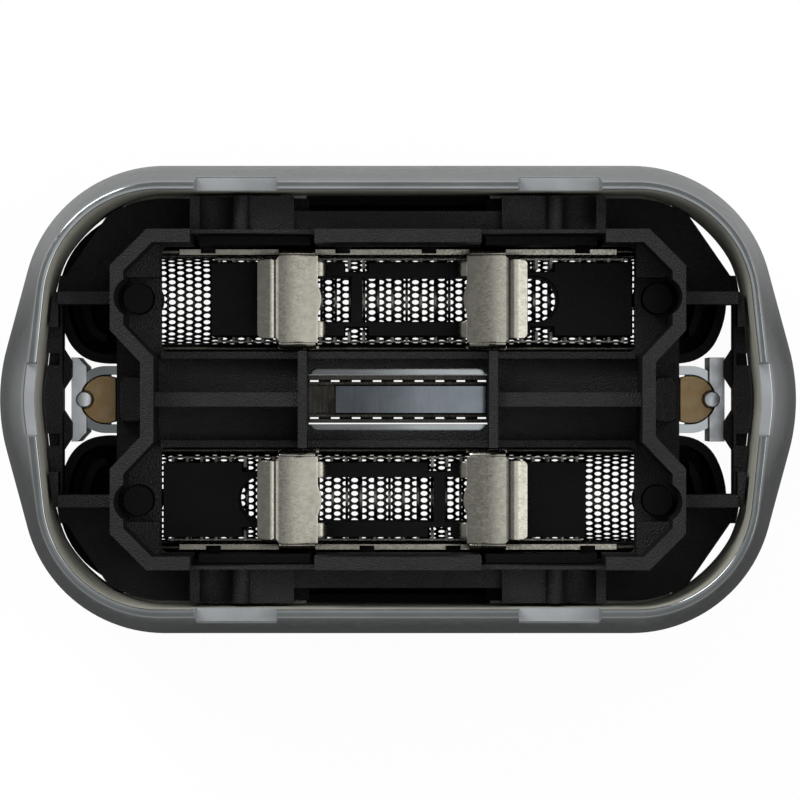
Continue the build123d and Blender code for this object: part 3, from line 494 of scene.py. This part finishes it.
def seat_bars():
    """Four bars along the long inside walls, on which the inner frame's plate rests: a section with cut
    edges, carried along X."""
    wall = HEAD_HALF_WIDTH - RIM_LEAN_Y - RIM_WALL
    low, high = wall - SEAT_REACH, wall + SEAT_ROOT
    floor = SEAT_TOP - SEAT_THICKNESS
    section = np.array([(low, floor + SEAT_CUT), (low + SEAT_CUT, floor), (high, floor), (high, SEAT_TOP),
                        (low + SEAT_EDGE, SEAT_TOP), (low, SEAT_TOP - SEAT_EDGE)])
    ends = np.array([SEAT_INNER, SEAT_END])
    bar = np.stack([np.repeat(ends, len(section)), np.tile(section[:, 0], 2), np.tile(section[:, 1], 2)], 1)
    faces = grid_quads(2, len(section), close_columns=True).tolist()
    faces += [list(range(len(section)))[::-1], list(range(len(section), 2 * len(section)))]
    flips = np.array([(1, 1, 1), (-1, -1, 1), (-1, 1, 1), (1, -1, 1)])
    bars = (bar[None] * flips[:, None]).reshape(-1, 3)
    return bars, [[i + k * len(bar) for i in face] for k in range(len(flips)) for face in faces]


def plated_shell(outside, inside, flats):
    """The shell: its section carried round the plan, plated outside, bare inside and on the floors of the
    notches and rebates, with the seat bars. The inside walls take a lighter grey than the floors, as painted
    light."""
    quarter, outside_rows = shell_rows()
    loop = all_round(quarter)
    rows, columns = loop.shape[:2]
    points = loop.reshape(-1, 3)
    faces = grid_quads(rows, columns, True, True).tolist()
    bars, bar_faces = seat_bars()
    bare = np.zeros(len(faces) + len(bar_faces), np.int32)
    bare[(outside_rows - 1) * columns:] = 1
    bare[(rows - 3) * columns:len(faces)] = 0
    lowered = loop[RIM_ROW, :, 2] < RIM_Z - 0.5 * REBATE_DEPTH
    floors = np.flatnonzero(lowered & np.roll(lowered, -1))
    bare[(np.arange(RIM_ROW, outside_rows - 1)[:, None] * columns + floors).ravel()] = 2
    faces += [[i + len(points) for i in face] for face in bar_faces]
    made = piece_from("plated_shell", np.concatenate([points, bars]), faces, outside, "frame",
                      "outer_frame")
    made.data.materials.append(inside)
    made.data.materials.append(flats)
    made.data.polygons.foreach_set("material_index", bare)
    tidy_normals(made.data)
    sharpen(made.data)


def tidy_normals(mesh):
    """Turns all faces of a closed mesh outwards."""
    work = bmesh.new()
    work.from_mesh(mesh)
    bmesh.ops.recalc_face_normals(work, faces=work.faces)
    work.to_mesh(mesh)
    work.free()


def sharpen(mesh):
    """Marks edges sharper than an angle, so that smooth shading stops there."""
    mesh.set_sharp_from_angle(angle=np.radians(SHARP_ANGLE))


# Arch of foil and blades: shallow crown, round shoulders, straight legs
SHOULDER_OFFSET = FOIL_HALF_WIDTH - SHOULDER_RADIUS
LIFT = CROWN_RADIUS - np.sqrt((CROWN_RADIUS - SHOULDER_RADIUS) ** 2 - SHOULDER_OFFSET ** 2)
CROWN_TURN = np.arcsin(SHOULDER_OFFSET / (CROWN_RADIUS - SHOULDER_RADIUS))
CROWN_END = CROWN_RADIUS * CROWN_TURN
SHOULDER_END = CROWN_END + SHOULDER_RADIUS * (np.pi / 2 - CROWN_TURN)
LEG_END = SHOULDER_END + LEG_TOP - LIFT


def arch_point(s, inset=0.0):
    """Across and height on the arch at arc length s from the crest: the crown's circle, then the shoulder's,
    then the leg, then the flange turned outwards. inset moves it in parallel."""
    side, far = np.sign(s), np.abs(s)
    crown = far / CROWN_RADIUS
    shoulder = CROWN_TURN + (far - CROWN_END) / SHOULDER_RADIUS
    parts = [far <= CROWN_END, far <= SHOULDER_END, far <= LEG_END]
    across = np.select(parts, [
        (CROWN_RADIUS - inset) * np.sin(crown),
        SHOULDER_OFFSET + (SHOULDER_RADIUS - inset) * np.sin(shoulder),
        FOIL_HALF_WIDTH - inset + 0 * far,
    ], FOIL_HALF_WIDTH - inset + far - LEG_END)
    height = np.select(parts, [
        CROWN_RADIUS - (CROWN_RADIUS - inset) * np.cos(crown),
        LIFT - (SHOULDER_RADIUS - inset) * np.cos(shoulder),
        LIFT + far - SHOULDER_END,
    ], LEG_TOP + 0 * far)
    return side * across, height


def on_unit(x, across, height, turned):
    """Places points of a foil unit: the rear unit as it is, the front one turned half round."""
    points = np.stack([x, FOIL_AXIS + across, height], -1)
    return points * [turned, turned, 1]


def foil_cells():
    """Flat plan of the perforated sheet, along x and arc length s, as points and faces.

    Holes stand in columns one pitch apart, every second column shifted by half a row. Each hole has a ring
    of twelve quads out to its six-sided cell; odd columns end in plain half cells, and the first and last
    columns are drawn out to straight edges."""
    a, b = HOLE_PITCH_X, HOLE_PITCH_S
    point_x = (a * a + b * b / 4) / (2 * a)
    flat_x = (a * a - b * b / 4) / (2 * a)
    corners = np.array([(point_x, 0), (flat_x, b / 2), (-flat_x, b / 2),
                        (-point_x, 0), (-flat_x, -b / 2), (flat_x, -b / 2)])
    edges = (corners + np.roll(corners, -1, 0)) / 2
    cell = np.stack([corners, edges], 1).reshape(12, 2)
    turn = np.arctan2(cell[:, 1] / (b / 2), cell[:, 0] / point_x)
    hole = np.stack([HOLE_HALF_LENGTH * np.cos(turn), HOLE_HALF_HEIGHT * np.sin(turn)], 1)
    column = np.arange(PERFORATED_COLUMNS)
    odd = column % 2 == 1
    count = np.where(odd, PERFORATED_ROWS - 1, PERFORATED_ROWS)
    column_of = np.repeat(column, count)
    row_of = np.concatenate([np.arange(n) for n in count])
    first_s = -(PERFORATED_ROWS - 1) * b / 2
    centre = np.stack([(column_of - (PERFORATED_COLUMNS - 1) / 2) * a,
                       first_s + (row_of + 0.5 * odd[column_of]) * b], 1)
    ring = np.repeat(cell[None], len(centre), 0)
    left = (column_of == 0)[:, None] & (ring[:, :, 0] < -flat_x * 0.9)
    right = (column_of == PERFORATED_COLUMNS - 1)[:, None] & (ring[:, :, 0] > flat_x * 0.9)
    ring[:, :, 0] = np.where(left, -point_x, np.where(right, point_x, ring[:, :, 0]))
    points = np.concatenate([ring, np.repeat(hole[None], len(centre), 0)], 1) + centre[:, None]
    step = np.arange(12)
    ahead = (step + 1) % 12
    quads = np.stack([step, ahead, ahead + 12, step + 12], 1)
    faces = (quads[None] + 24 * np.arange(len(centre))[:, None, None]).reshape(-1, 4).tolist()
    points = points.reshape(-1, 2)
    half = np.array([(-point_x, 0), (point_x, 0), edges[0], (flat_x, b / 2), (0, b / 2), (-flat_x, b / 2),
                     edges[0] * [-1, 1]])
    odd_x = (column[odd] - (PERFORATED_COLUMNS - 1) / 2) * a
    for sign in (1, -1):
        place = np.stack([odd_x, np.full(odd_x.size, sign * (first_s - b / 2))], 1)
        plain = (half * [1, sign])[None] + place[:, None]
        start = len(points)
        order = np.arange(7) if sign > 0 else np.arange(7)[::-1]
        faces += (start + order[None] + 7 * np.arange(odd_x.size)[:, None]).tolist()
        points = np.concatenate([points, plain.reshape(-1, 2)])
    edge_x = point_x + (PERFORATED_COLUMNS - 1) * a / 2
    even_x = (column[~odd] - (PERFORATED_COLUMNS - 1) / 2) * a
    border_x = np.sort(np.concatenate([even_x - flat_x, even_x, even_x + flat_x]))
    border_x = np.concatenate([[-FOIL_HALF_LENGTH, -edge_x], border_x[1:-1], [edge_x, FOIL_HALF_LENGTH]])
    edge_s = PERFORATED_ROWS * b / 2
    leg_s = np.array([edge_s, (edge_s + LEG_END) / 2, LEG_END, LEG_END + FLANGE])
    end_s = np.arange(-2 * PERFORATED_ROWS, 2 * PERFORATED_ROWS + 1) * b / 4
    left_x = np.array([-FOIL_HALF_LENGTH, -edge_x])
    right_x = np.array([edge_x, FOIL_HALF_LENGTH])
    sheets = ((border_x, leg_s), (border_x, -leg_s[::-1]), (left_x, end_s), (right_x, end_s))
    for x_line, s_line in sheets:
        start = len(points)
        sheet = np.stack(np.meshgrid(x_line, s_line), -1)
        faces += (start + grid_quads(*sheet.shape[:2])).tolist()
        points = np.concatenate([points, sheet.reshape(-1, 2)])
    points, faces = merged(points, faces)
    return points, [face[::-1] for face in faces]


def perforated_foil(word, turned, flat, faces, material):
    """The flat plan rolled onto the arch, and given its sheet thickness inwards."""
    across, height = arch_point(flat[:, 1])
    points = on_unit(flat[:, 0], across, height, turned)
    made = piece_from("perforated_foil_" + word, points, faces, material, "foil_unit_" + word,
                      "foil_" + word)
    sheet = made.modifiers.new("sheet", "SOLIDIFY")
    sheet.thickness = FOIL_THICKNESS * MM
    sheet.offset = -1


def blade_pack(word, turned, material):
    """Cutter blades: an arched band in one plane, repeated along X, and a thin band along each leg."""
    span = SHOULDER_END + BLADE_TOP - LIFT
    s = np.concatenate([np.linspace(-span, -SHOULDER_END, 4),
                        np.linspace(-SHOULDER_END, SHOULDER_END, 37)[1:-1],
                        np.linspace(SHOULDER_END, span, 4)])
    rings = []
    near, deep = BLADE_INSET, BLADE_INSET + BLADE_DEPTH
    half = BLADE_THICKNESS / 2
    for x, inset in ((-half, near), (-half, deep), (half, deep), (half, near)):
        across, height = arch_point(s, inset)
        rings.append(on_unit(np.full(s.size, x), across, height, 1))
    blade = np.array(rings)
    around = grid_quads(4, s.size, close_rows=True)
    caps = np.array([[0, 1, 2, 3], [3, 2, 1, 0]]) * s.size + np.array([[s.size - 1], [0]])
    blade_faces = np.concatenate([around, caps])
    places = BLADE_CENTRE + (np.arange(BLADE_COUNT) - (BLADE_COUNT - 1) / 2) * BLADE_PITCH
    points = blade.reshape(1, -1, 3) + places[:, None, None] * np.array([1.0, 0, 0])
    faces = blade_faces[None] + (4 * s.size) * np.arange(BLADE_COUNT)[:, None, None]
    points, faces = points.reshape(-1, 3), faces.reshape(-1, 4).tolist()
    outer = FOIL_HALF_WIDTH - BLADE_INSET - BAND_SINK
    for side in (1, -1):
        across = side * (outer - np.array([0, BAND_THICKNESS]))
        ends = BLADE_CENTRE + np.array([-CUTTER_HALF_LENGTH, CUTTER_HALF_LENGTH])
        heights = [BAND_FOOT, BLADE_TOP - BAND_SINK]
        box = np.stack(np.meshgrid(ends, across, heights, indexing="ij"), -1).reshape(-1, 3)
        box[:, 1] += FOIL_AXIS
        sides = [(0, 1, 3, 2), (4, 6, 7, 5), (0, 4, 5, 1), (2, 3, 7, 6), (0, 2, 6, 4), (1, 5, 7, 3)]
        faces += [[i + len(points) for i in face] for face in sides]
        points = np.concatenate([points, box])
    made = piece_from("blade_pack_" + word, points * [turned, turned, 1], faces, material, "cutter_" + word,
                      "cutter_blade_" + word)
    tidy_normals(made.data)
    sharpen(made.data)


def plate_height(out):
    """Height of a cross plate above its level at a distance out from the mouth: it bends down to the mouth
    and, less, outwards by square laws, and its outer end rises in a ridge that falls off to the tip."""
    bend = -MOUTH_DROP * np.clip(1 - out / MOUTH_BEND, 0, 1) ** 2
    bend = bend - PLATE_CROWN * np.clip(out / CROSS_LENGTH, 0, 1) ** 2
    curl = np.clip((out - CROSS_LENGTH) / CURL_LENGTH, 0, 1)
    ridge = CURL_RISE * np.sin(np.pi * curl ** CURL_SKEW) * (1 - CURL_FALL * curl)
    return bend + ridge


def sheet_grid(x, y, z, faces, points):
    """Adds a grid of points, given as whole arrays, and its quads to the lists."""
    start = sum(len(part) for part in points)
    grid = np.stack(np.broadcast_arrays(x, y, z), -1)
    faces += (start + grid_quads(*grid.shape[:2])).tolist()
    points.append(grid.reshape(-1, 3))


def bent_retainer(word, turned, material):
    """Stamped bridge over a foil: two cross plates whose width follows the distance from the mouth, with
    round corners at the tip, legs bent down in a quarter circle, fingers folded into the mouth, and a strip
    with feet."""
    points, faces = [], []
    across = np.linspace(-1, 1, 41)[None, :]
    shift = RETAINER_SHIFT * turned
    level_half = PLATE_HALF_WIDTH - LEG_BEND
    for end in (1, -1):
        mouth = shift + end * MOUTH_HALF
        level_out = np.linspace(0, CROSS_LENGTH, 14)
        curl_out = CROSS_LENGTH + CURL_LENGTH * np.linspace(0, 1, 25)[1:]
        out = np.concatenate([level_out, curl_out])[:, None]
        curl = np.clip((out - CROSS_LENGTH) / CURL_LENGTH, 0, 1)
        tip = np.clip((curl - TIP_START) / (1 - TIP_START), 0, 1)
        round_end = TIP_ROUND * (1 - np.sqrt(1 - tip ** 2))
        step = np.clip((out - CROSS_LENGTH + PLATE_STEP) / PLATE_STEP, 0, 1)
        half = level_half + (CURL_HALF_WIDTH - level_half) * step - round_end
        y = half * across
        wave = -MOUTH_WAVE * np.clip(np.cos(0.5 * np.pi * y / WAVE_HALF), 0, 1) ** 1.5
        x = mouth + end * (out + wave * np.clip(1 - out / WAVE_REACH, 0, 1))
        sheet_grid(x, FOIL_AXIS + y, RETAINER_TOP + plate_height(out), faces, points)
        flat_out = np.linspace(LEG_INSET, CROSS_LENGTH - LEG_INSET, 12)[:, None]
        turn = np.linspace(0, np.pi / 2, 6)[None, :]
        for side in (1, -1):
            leg_y = np.concatenate([level_half + LEG_BEND * np.sin(turn), [[PLATE_HALF_WIDTH]]], 1)
            leg_z = np.concatenate([RETAINER_TOP + plate_height(flat_out) - LEG_BEND * (1 - np.cos(turn)),
                                    STRIP_Z + 0 * flat_out], 1)
            sheet_grid(mouth + end * flat_out, FOIL_AXIS + side * leg_y, leg_z, faces, points)
            fold = np.radians(np.linspace(0, FINGER_TURN, 16))[:, None]
            width = FINGER_HALF_WIDTH * np.linspace(-1, 1, 5)[None, :]
            finger_x = mouth - end * FINGER_RUN * np.sin(fold) + end * FINGER_LAP
            finger_z = RETAINER_TOP - MOUTH_DROP - FINGER_RUN * (1 - np.cos(fold))
            sheet_grid(finger_x, FOIL_AXIS + side * FINGER_OFFSET + width, finger_z, faces, points)
        foot = np.array([mouth, mouth + end * CROSS_LENGTH])[:, None]
        foot_y = FOIL_AXIS - PLATE_HALF_WIDTH - np.array([-FOOT_UNDER, STRIP_WIDTH - FOOT_TRIM])[None, :]
        sheet_grid(foot, foot_y, STRIP_Z, faces, points)
    strip_x = np.linspace(-STRIP_HALF_LENGTH, STRIP_HALF_LENGTH, 3)[:, None]
    strip_y = FOIL_AXIS + FOIL_HALF_WIDTH - STRIP_LAP + np.array([0, STRIP_WIDTH])[None, :]
    sheet_grid(strip_x, strip_y, STRIP_Z - STRIP_TILT * np.array([[1, 0]]), faces, points)
    made = piece_from("bent_retainer_" + word, np.concatenate(points) * [turned, turned, 1], faces, material,
                      "foil_unit_" + word, "foil_retainer_" + word)
    turn_up(made.data)
    sheet = made.modifiers.new("sheet", "SOLIDIFY")
    sheet.thickness = SHEET * MM
    sheet.offset = -1
    round_off(made, STAMPED_EDGE)


def turn_up(mesh):
    """Turns the faces of an open sheet so that its top side is outside."""
    work = bmesh.new()
    work.from_mesh(mesh)
    work.normal_update()
    middle = sum((vertex.co for vertex in work.verts), Vector()) / len(work.verts)
    for face in work.faces:
        away = face.calc_center_median() - middle
        if face.normal.z < -0.05 or (abs(face.normal.z) <= 0.05 and face.normal.y * away.y < 0):
            face.normal_flip()
    work.to_mesh(mesh)
    work.free()


def round_off(made, width_mm):
    """Rounds the hard edges of a piece and lets its flat faces set the shading."""
    edges = made.modifiers.new("edges", "BEVEL")
    edges.width = width_mm * MM
    edges.segments = EDGE_SEGMENTS
    edges.limit_method = "ANGLE"
    edges.angle_limit = np.radians(EDGE_ANGLE)
    edges.use_clamp_overlap = True
    shading = made.modifiers.new("shading", "WEIGHTED_NORMAL")
    shading.keep_sharp = True


def softened(node, width_mm, material):
    """A merged copy of a node with its hard edges rounded off, as moulding and stamping leave them."""
    source = frame["nodes"][node]
    mesh = source.data.copy()
    work = bmesh.new()
    work.from_mesh(mesh)
    bmesh.ops.remove_doubles(work, verts=work.verts, dist=MERGE_DISTANCE * MM)
    bmesh.ops.dissolve_limit(work, angle_limit=np.radians(FLAT_ANGLE), verts=work.verts, edges=work.edges)
    work.to_mesh(mesh)
    work.free()
    mesh.materials.clear()
    mesh.materials.append(material)
    mesh.shade_smooth()
    made = bpy.data.objects.new(node + "_soft", mesh)
    bpy.context.scene.collection.objects.link(made)
    round_off(made, width_mm)
    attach(made, source["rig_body"])
    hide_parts(node)
    return made


def widened(comb):
    """Moves the comb's long edges out into their gaps, so that the rear one lies against the guard."""
    points = np.empty(3 * len(comb.data.vertices), np.float32)
    comb.data.vertices.foreach_get("co", points)
    points = points.reshape(-1, 3)
    rear, front = points[:, 1].max(), points[:, 1].min()
    points[:, 1] += np.where(points[:, 1] > rear - COMB_EDGE_BAND * MM, COMB_REAR_REACH * MM, 0)
    points[:, 1] -= np.where(points[:, 1] < front + COMB_EDGE_BAND * MM, COMB_FRONT_REACH * MM, 0)
    comb.data.vertices.foreach_set("co", points.ravel())
    comb.data.update()


def guard_ends(guard, rings, ends):
    """Gives the guard's faces beyond its strips their own looks, the rings one and the walls and pins a
    lighter one, painted light against the shade they lie in, and draws each pin's round edge together to a
    share of its width."""
    guard.data.materials.append(rings)
    guard.data.materials.append(ends)
    centres = np.empty(3 * len(guard.data.polygons), np.float32)
    guard.data.polygons.foreach_get("center", centres)
    x = np.abs(centres.reshape(-1, 3)[:, 0])
    look = np.searchsorted(np.array([GUARD_STRIP, GUARD_RING]) * MM, x)
    guard.data.polygons.foreach_set("material_index", look.astype(np.int32))
    points = np.empty(3 * len(guard.data.vertices), np.float32)
    guard.data.vertices.foreach_get("co", points)
    points = points.reshape(-1, 3)
    axis = np.stack([np.sign(points[:, 0]) * PIN_X * MM, 0 * points[:, 1]], 1)
    out = points[:, :2] - axis
    radius = np.maximum(np.hypot(*out.T), SMALLEST * MM)[:, None]
    on_pin = (points[:, 2] > PIN_FOOT * MM)[:, None] & (radius < PIN_SEARCH * PIN_RADIUS * MM)
    broad = axis + out / radius * (PIN_RADIUS * MM - PIN_ROUND * (PIN_RADIUS * MM - radius))
    points[:, :2] = np.where(on_pin, broad, points[:, :2])
    guard.data.vertices.foreach_set("co", points.ravel())
    guard.data.update()


def pale_floor():
    """A white table: white to the eye with at most a faint shadow. In the plating its mirror image is painted
    shade:
    a glow for glossy rays that darkens from the key light's side across the object to the other side, and
    brightens away from the object, in place of the object's own shadow."""
    mesh = bpy.data.meshes.new("floor")
    signs = ((-1, -1), (1, -1), (1, 1), (-1, 1))
    corners = [(FLOOR_HALF * x, FLOOR_HALF * y, FLOOR_Z * MM) for x, y in signs]
    mesh.from_pydata(corners, [], [(0, 1, 2, 3)])
    floor = bpy.data.objects.new("floor", mesh)
    bpy.context.scene.collection.objects.link(floor)
    material = bpy.data.materials.new("white_table")
    material.use_nodes = True
    tree = material.node_tree
    tree.nodes.clear()
    place = add_node(tree, "ShaderNodeTexCoord").outputs["Object"]
    across = add_node(tree, "ShaderNodeSeparateXYZ", {0: place}).outputs["Y"]
    share = add_node(tree, "ShaderNodeMapRange", {"Value": across},
                     {"From Min": -TABLE_REACH * MM, "From Max": TABLE_REACH * MM})
    shade = add_node(tree, "ShaderNodeValToRGB", {"Fac": share.outputs["Result"]})
    for spot, _ in PAINTED_MIRROR_SHADE[1:-1]:
        shade.color_ramp.elements.new(spot)
    for stop, (spot, level) in zip(shade.color_ramp.elements, PAINTED_MIRROR_SHADE):
        stop.position = spot
        stop.color = grey(level)
    sides = add_node(tree, "ShaderNodeVectorMath", {0: place}, operation="ABSOLUTE").outputs[0]
    core = tuple(MM * side for side in TABLE_CORE)
    beyond = add_node(tree, "ShaderNodeVectorMath", {0: sides}, {1: core}, operation="SUBTRACT").outputs[0]
    outward = add_node(tree, "ShaderNodeVectorMath", {0: beyond}, {1: (0, 0, 0)},
                       operation="MAXIMUM").outputs[0]
    away = add_node(tree, "ShaderNodeVectorMath", {0: outward}, operation="LENGTH").outputs["Value"]
    gain = add_node(tree, "ShaderNodeMapRange", {"Value": away},
                    {"From Min": TABLE_DARK * MM, "From Max": TABLE_BRIGHT * MM, "To Max": TABLE_GAIN})
    image = add_node(tree, "ShaderNodeMath", {0: shade.outputs["Color"], 1: gain.outputs["Result"]},
                     operation="ADD")
    path = add_node(tree, "ShaderNodeLightPath")
    # painted reflection and shade: the glow seen by glossy rays darkens across the object and near it
    glossy = add_node(tree, "ShaderNodeMath", {0: path.outputs["Is Glossy Ray"], 1: image.outputs[0]},
                      operation="MULTIPLY")
    direct = {0: path.outputs["Is Camera Ray"], 1: path.outputs["Is Transmission Ray"]}
    seen = add_node(tree, "ShaderNodeMath", direct, operation="ADD")
    level = add_node(tree, "ShaderNodeMath", {0: seen.outputs[0], 1: glossy.outputs[0]}, operation="ADD")
    glow = add_node(tree, "ShaderNodeEmission", {"Strength": level.outputs[0]}, {"Color": grey(TABLE_WHITE)})
    matt = add_node(tree, "ShaderNodeBsdfDiffuse", (), {"Color": grey(TABLE_MATT)})
    both = add_node(tree, "ShaderNodeAddShader", {0: glow.outputs[0], 1: matt.outputs[0]})
    add_node(tree, "ShaderNodeOutputMaterial", {"Surface": both.outputs[0]})
    mesh.materials.append(material)


def panel(name, place, target, width, depth, radiance):
    """A softbox at a place in metres, turned to a target, as bright as radiance all over its face."""
    data = bpy.data.lights.new(name, "AREA")
    data.shape = "RECTANGLE"
    data.size = width
    data.size_y = depth
    data.energy = radiance * np.pi * width * depth
    lamp = bpy.data.objects.new(name, data)
    lamp.location = place
    lamp.rotation_euler = (Vector(target) - Vector(place)).to_track_quat("-Z", "Y").to_euler()
    bpy.context.scene.collection.objects.link(lamp)


def studio():
    """Dim surroundings, a key softbox from the upper left, a wide one over the right half, one from the
    right, and the camera above."""
    world = bpy.data.worlds.new("surroundings")
    bpy.context.scene.world = world
    world.use_nodes = True
    tree = world.node_tree
    tree.nodes.clear()
    background = add_node(tree, "ShaderNodeBackground", (),
                          {"Color": grey(SURROUND_GREY), "Strength": SURROUND_STRENGTH})
    add_node(tree, "ShaderNodeOutputWorld", {"Surface": background.outputs[0]})
    for softbox in SOFTBOXES:
        panel(*softbox)
    data = bpy.data.cameras.new("camera")
    data.lens = LENS
    data.clip_start = CAMERA_CLIP
    camera = bpy.data.objects.new("camera", data)
    camera.location = (CAMERA_X * MM, CAMERA_Y * MM, CAMERA_HEIGHT * MM)
    bpy.context.scene.collection.objects.link(camera)
    bpy.context.scene.camera = camera
    bpy.context.scene.view_settings.view_transform = "Standard"


chrome = satin_chrome_on_abs("satin_chrome_on_abs", "#8D9294", "#9CA1A2", 0.16)
# one bare grey plastic in two tones: the upright inside walls lighter than the notch and rebate floors,
# painted light for the dim walls
bare = bare_grey_abs("bare_grey_abs", "#B6B5A9", "#C4C3B7")
flats = bare_grey_abs("bare_grey_flats", "#85898B", "#93979A")
guard_chrome = rolled_steel("polished_guard_strip", "#878C8F", "#919698", 0.07, (0.05, 1, 1), 2.0,
                            relief=0.004, spread=0.012)
ring_lacquer = bare_grey_abs("satin_grey_lacquer", "#959BA0", "#A1A7AB")
# lighter plating on the guard's walls and pins: painted light against the box wall's shadow
lightened_guard_ends = satin_chrome_on_abs("guard_end_plating_painted_light", "#CCD1D4", "#D6DADD", 0.4)
black = grained_black_abs("grained_black_abs", "#070708", "#111113", 0.9, 0.36)
deep_black = grained_black_abs("smooth_black_acetal", "#030303", "#060606", 0.15, 0.12)
foil_steel = rolled_steel("electroformed_nickel_foil", "#4C4A45", "#625F58", 0.35, (1, 1, 1), 1.2)
strip_steel = rolled_steel("stamped_stainless_strip", "#8C8980", "#98958B", 0.24, (0.6, 1, 1), 0.35)
ground_steel = rolled_steel("ground_blade_steel", "#6F6E6A", "#838179", 0.3, (1, 0.1, 1), 1.0)
comb_steel = rolled_steel("blued_comb_steel", "#3E3D39", "#4C4A44", 0.3, (1, 0.1, 1), 1.0)
# tan holders: a real tan, lifted above the plastic's own tone as painted light for the dim recess they sit in
tan = smooth_acetal("tan_acetal_painted_light", "#F0C27A", "#FAD698")
slider_grey = rolled_steel("polished_slider_steel", "#60666C", "#6A7075", 0.07, (1, 0.04, 1), 2.0,
                           relief=0.004, spread=0.012)

plated_shell(chrome, bare, flats)
flat, cells = foil_cells()
for word, turned in (("rear", 1), ("front", -1)):
    perforated_foil(word, turned, flat, cells, foil_steel)
    blade_pack(word, turned, ground_steel)
    softened("foil_frame_" + word, MOULDED_EDGE, deep_black)
    bent_retainer(word, turned, strip_steel)
    softened("cutter_carrier_" + word, CARRIER_EDGE, deep_black)
softened("inner_frame", MOULDED_EDGE, black)
guard = softened("trimmer_guard", GUARD_EDGE, guard_chrome)
guard_ends(guard, ring_lacquer, lightened_guard_ends)
widened(softened("trimmer_comb", STAMPED_EDGE, comb_steel))
softened("trimmer_blade", STAMPED_EDGE, comb_steel)
softened("trimmer_slider", SLIDER_EDGE, slider_grey)
for word in ("left", "right"):
    softened("trimmer_holder_" + word, CARRIER_EDGE, tan)
    softened("trimmer_latch_" + word, MOULDED_EDGE, black)
    softened("trimmer_spring_" + word, STAMPED_EDGE, strip_steel)

pale_floor()
studio()
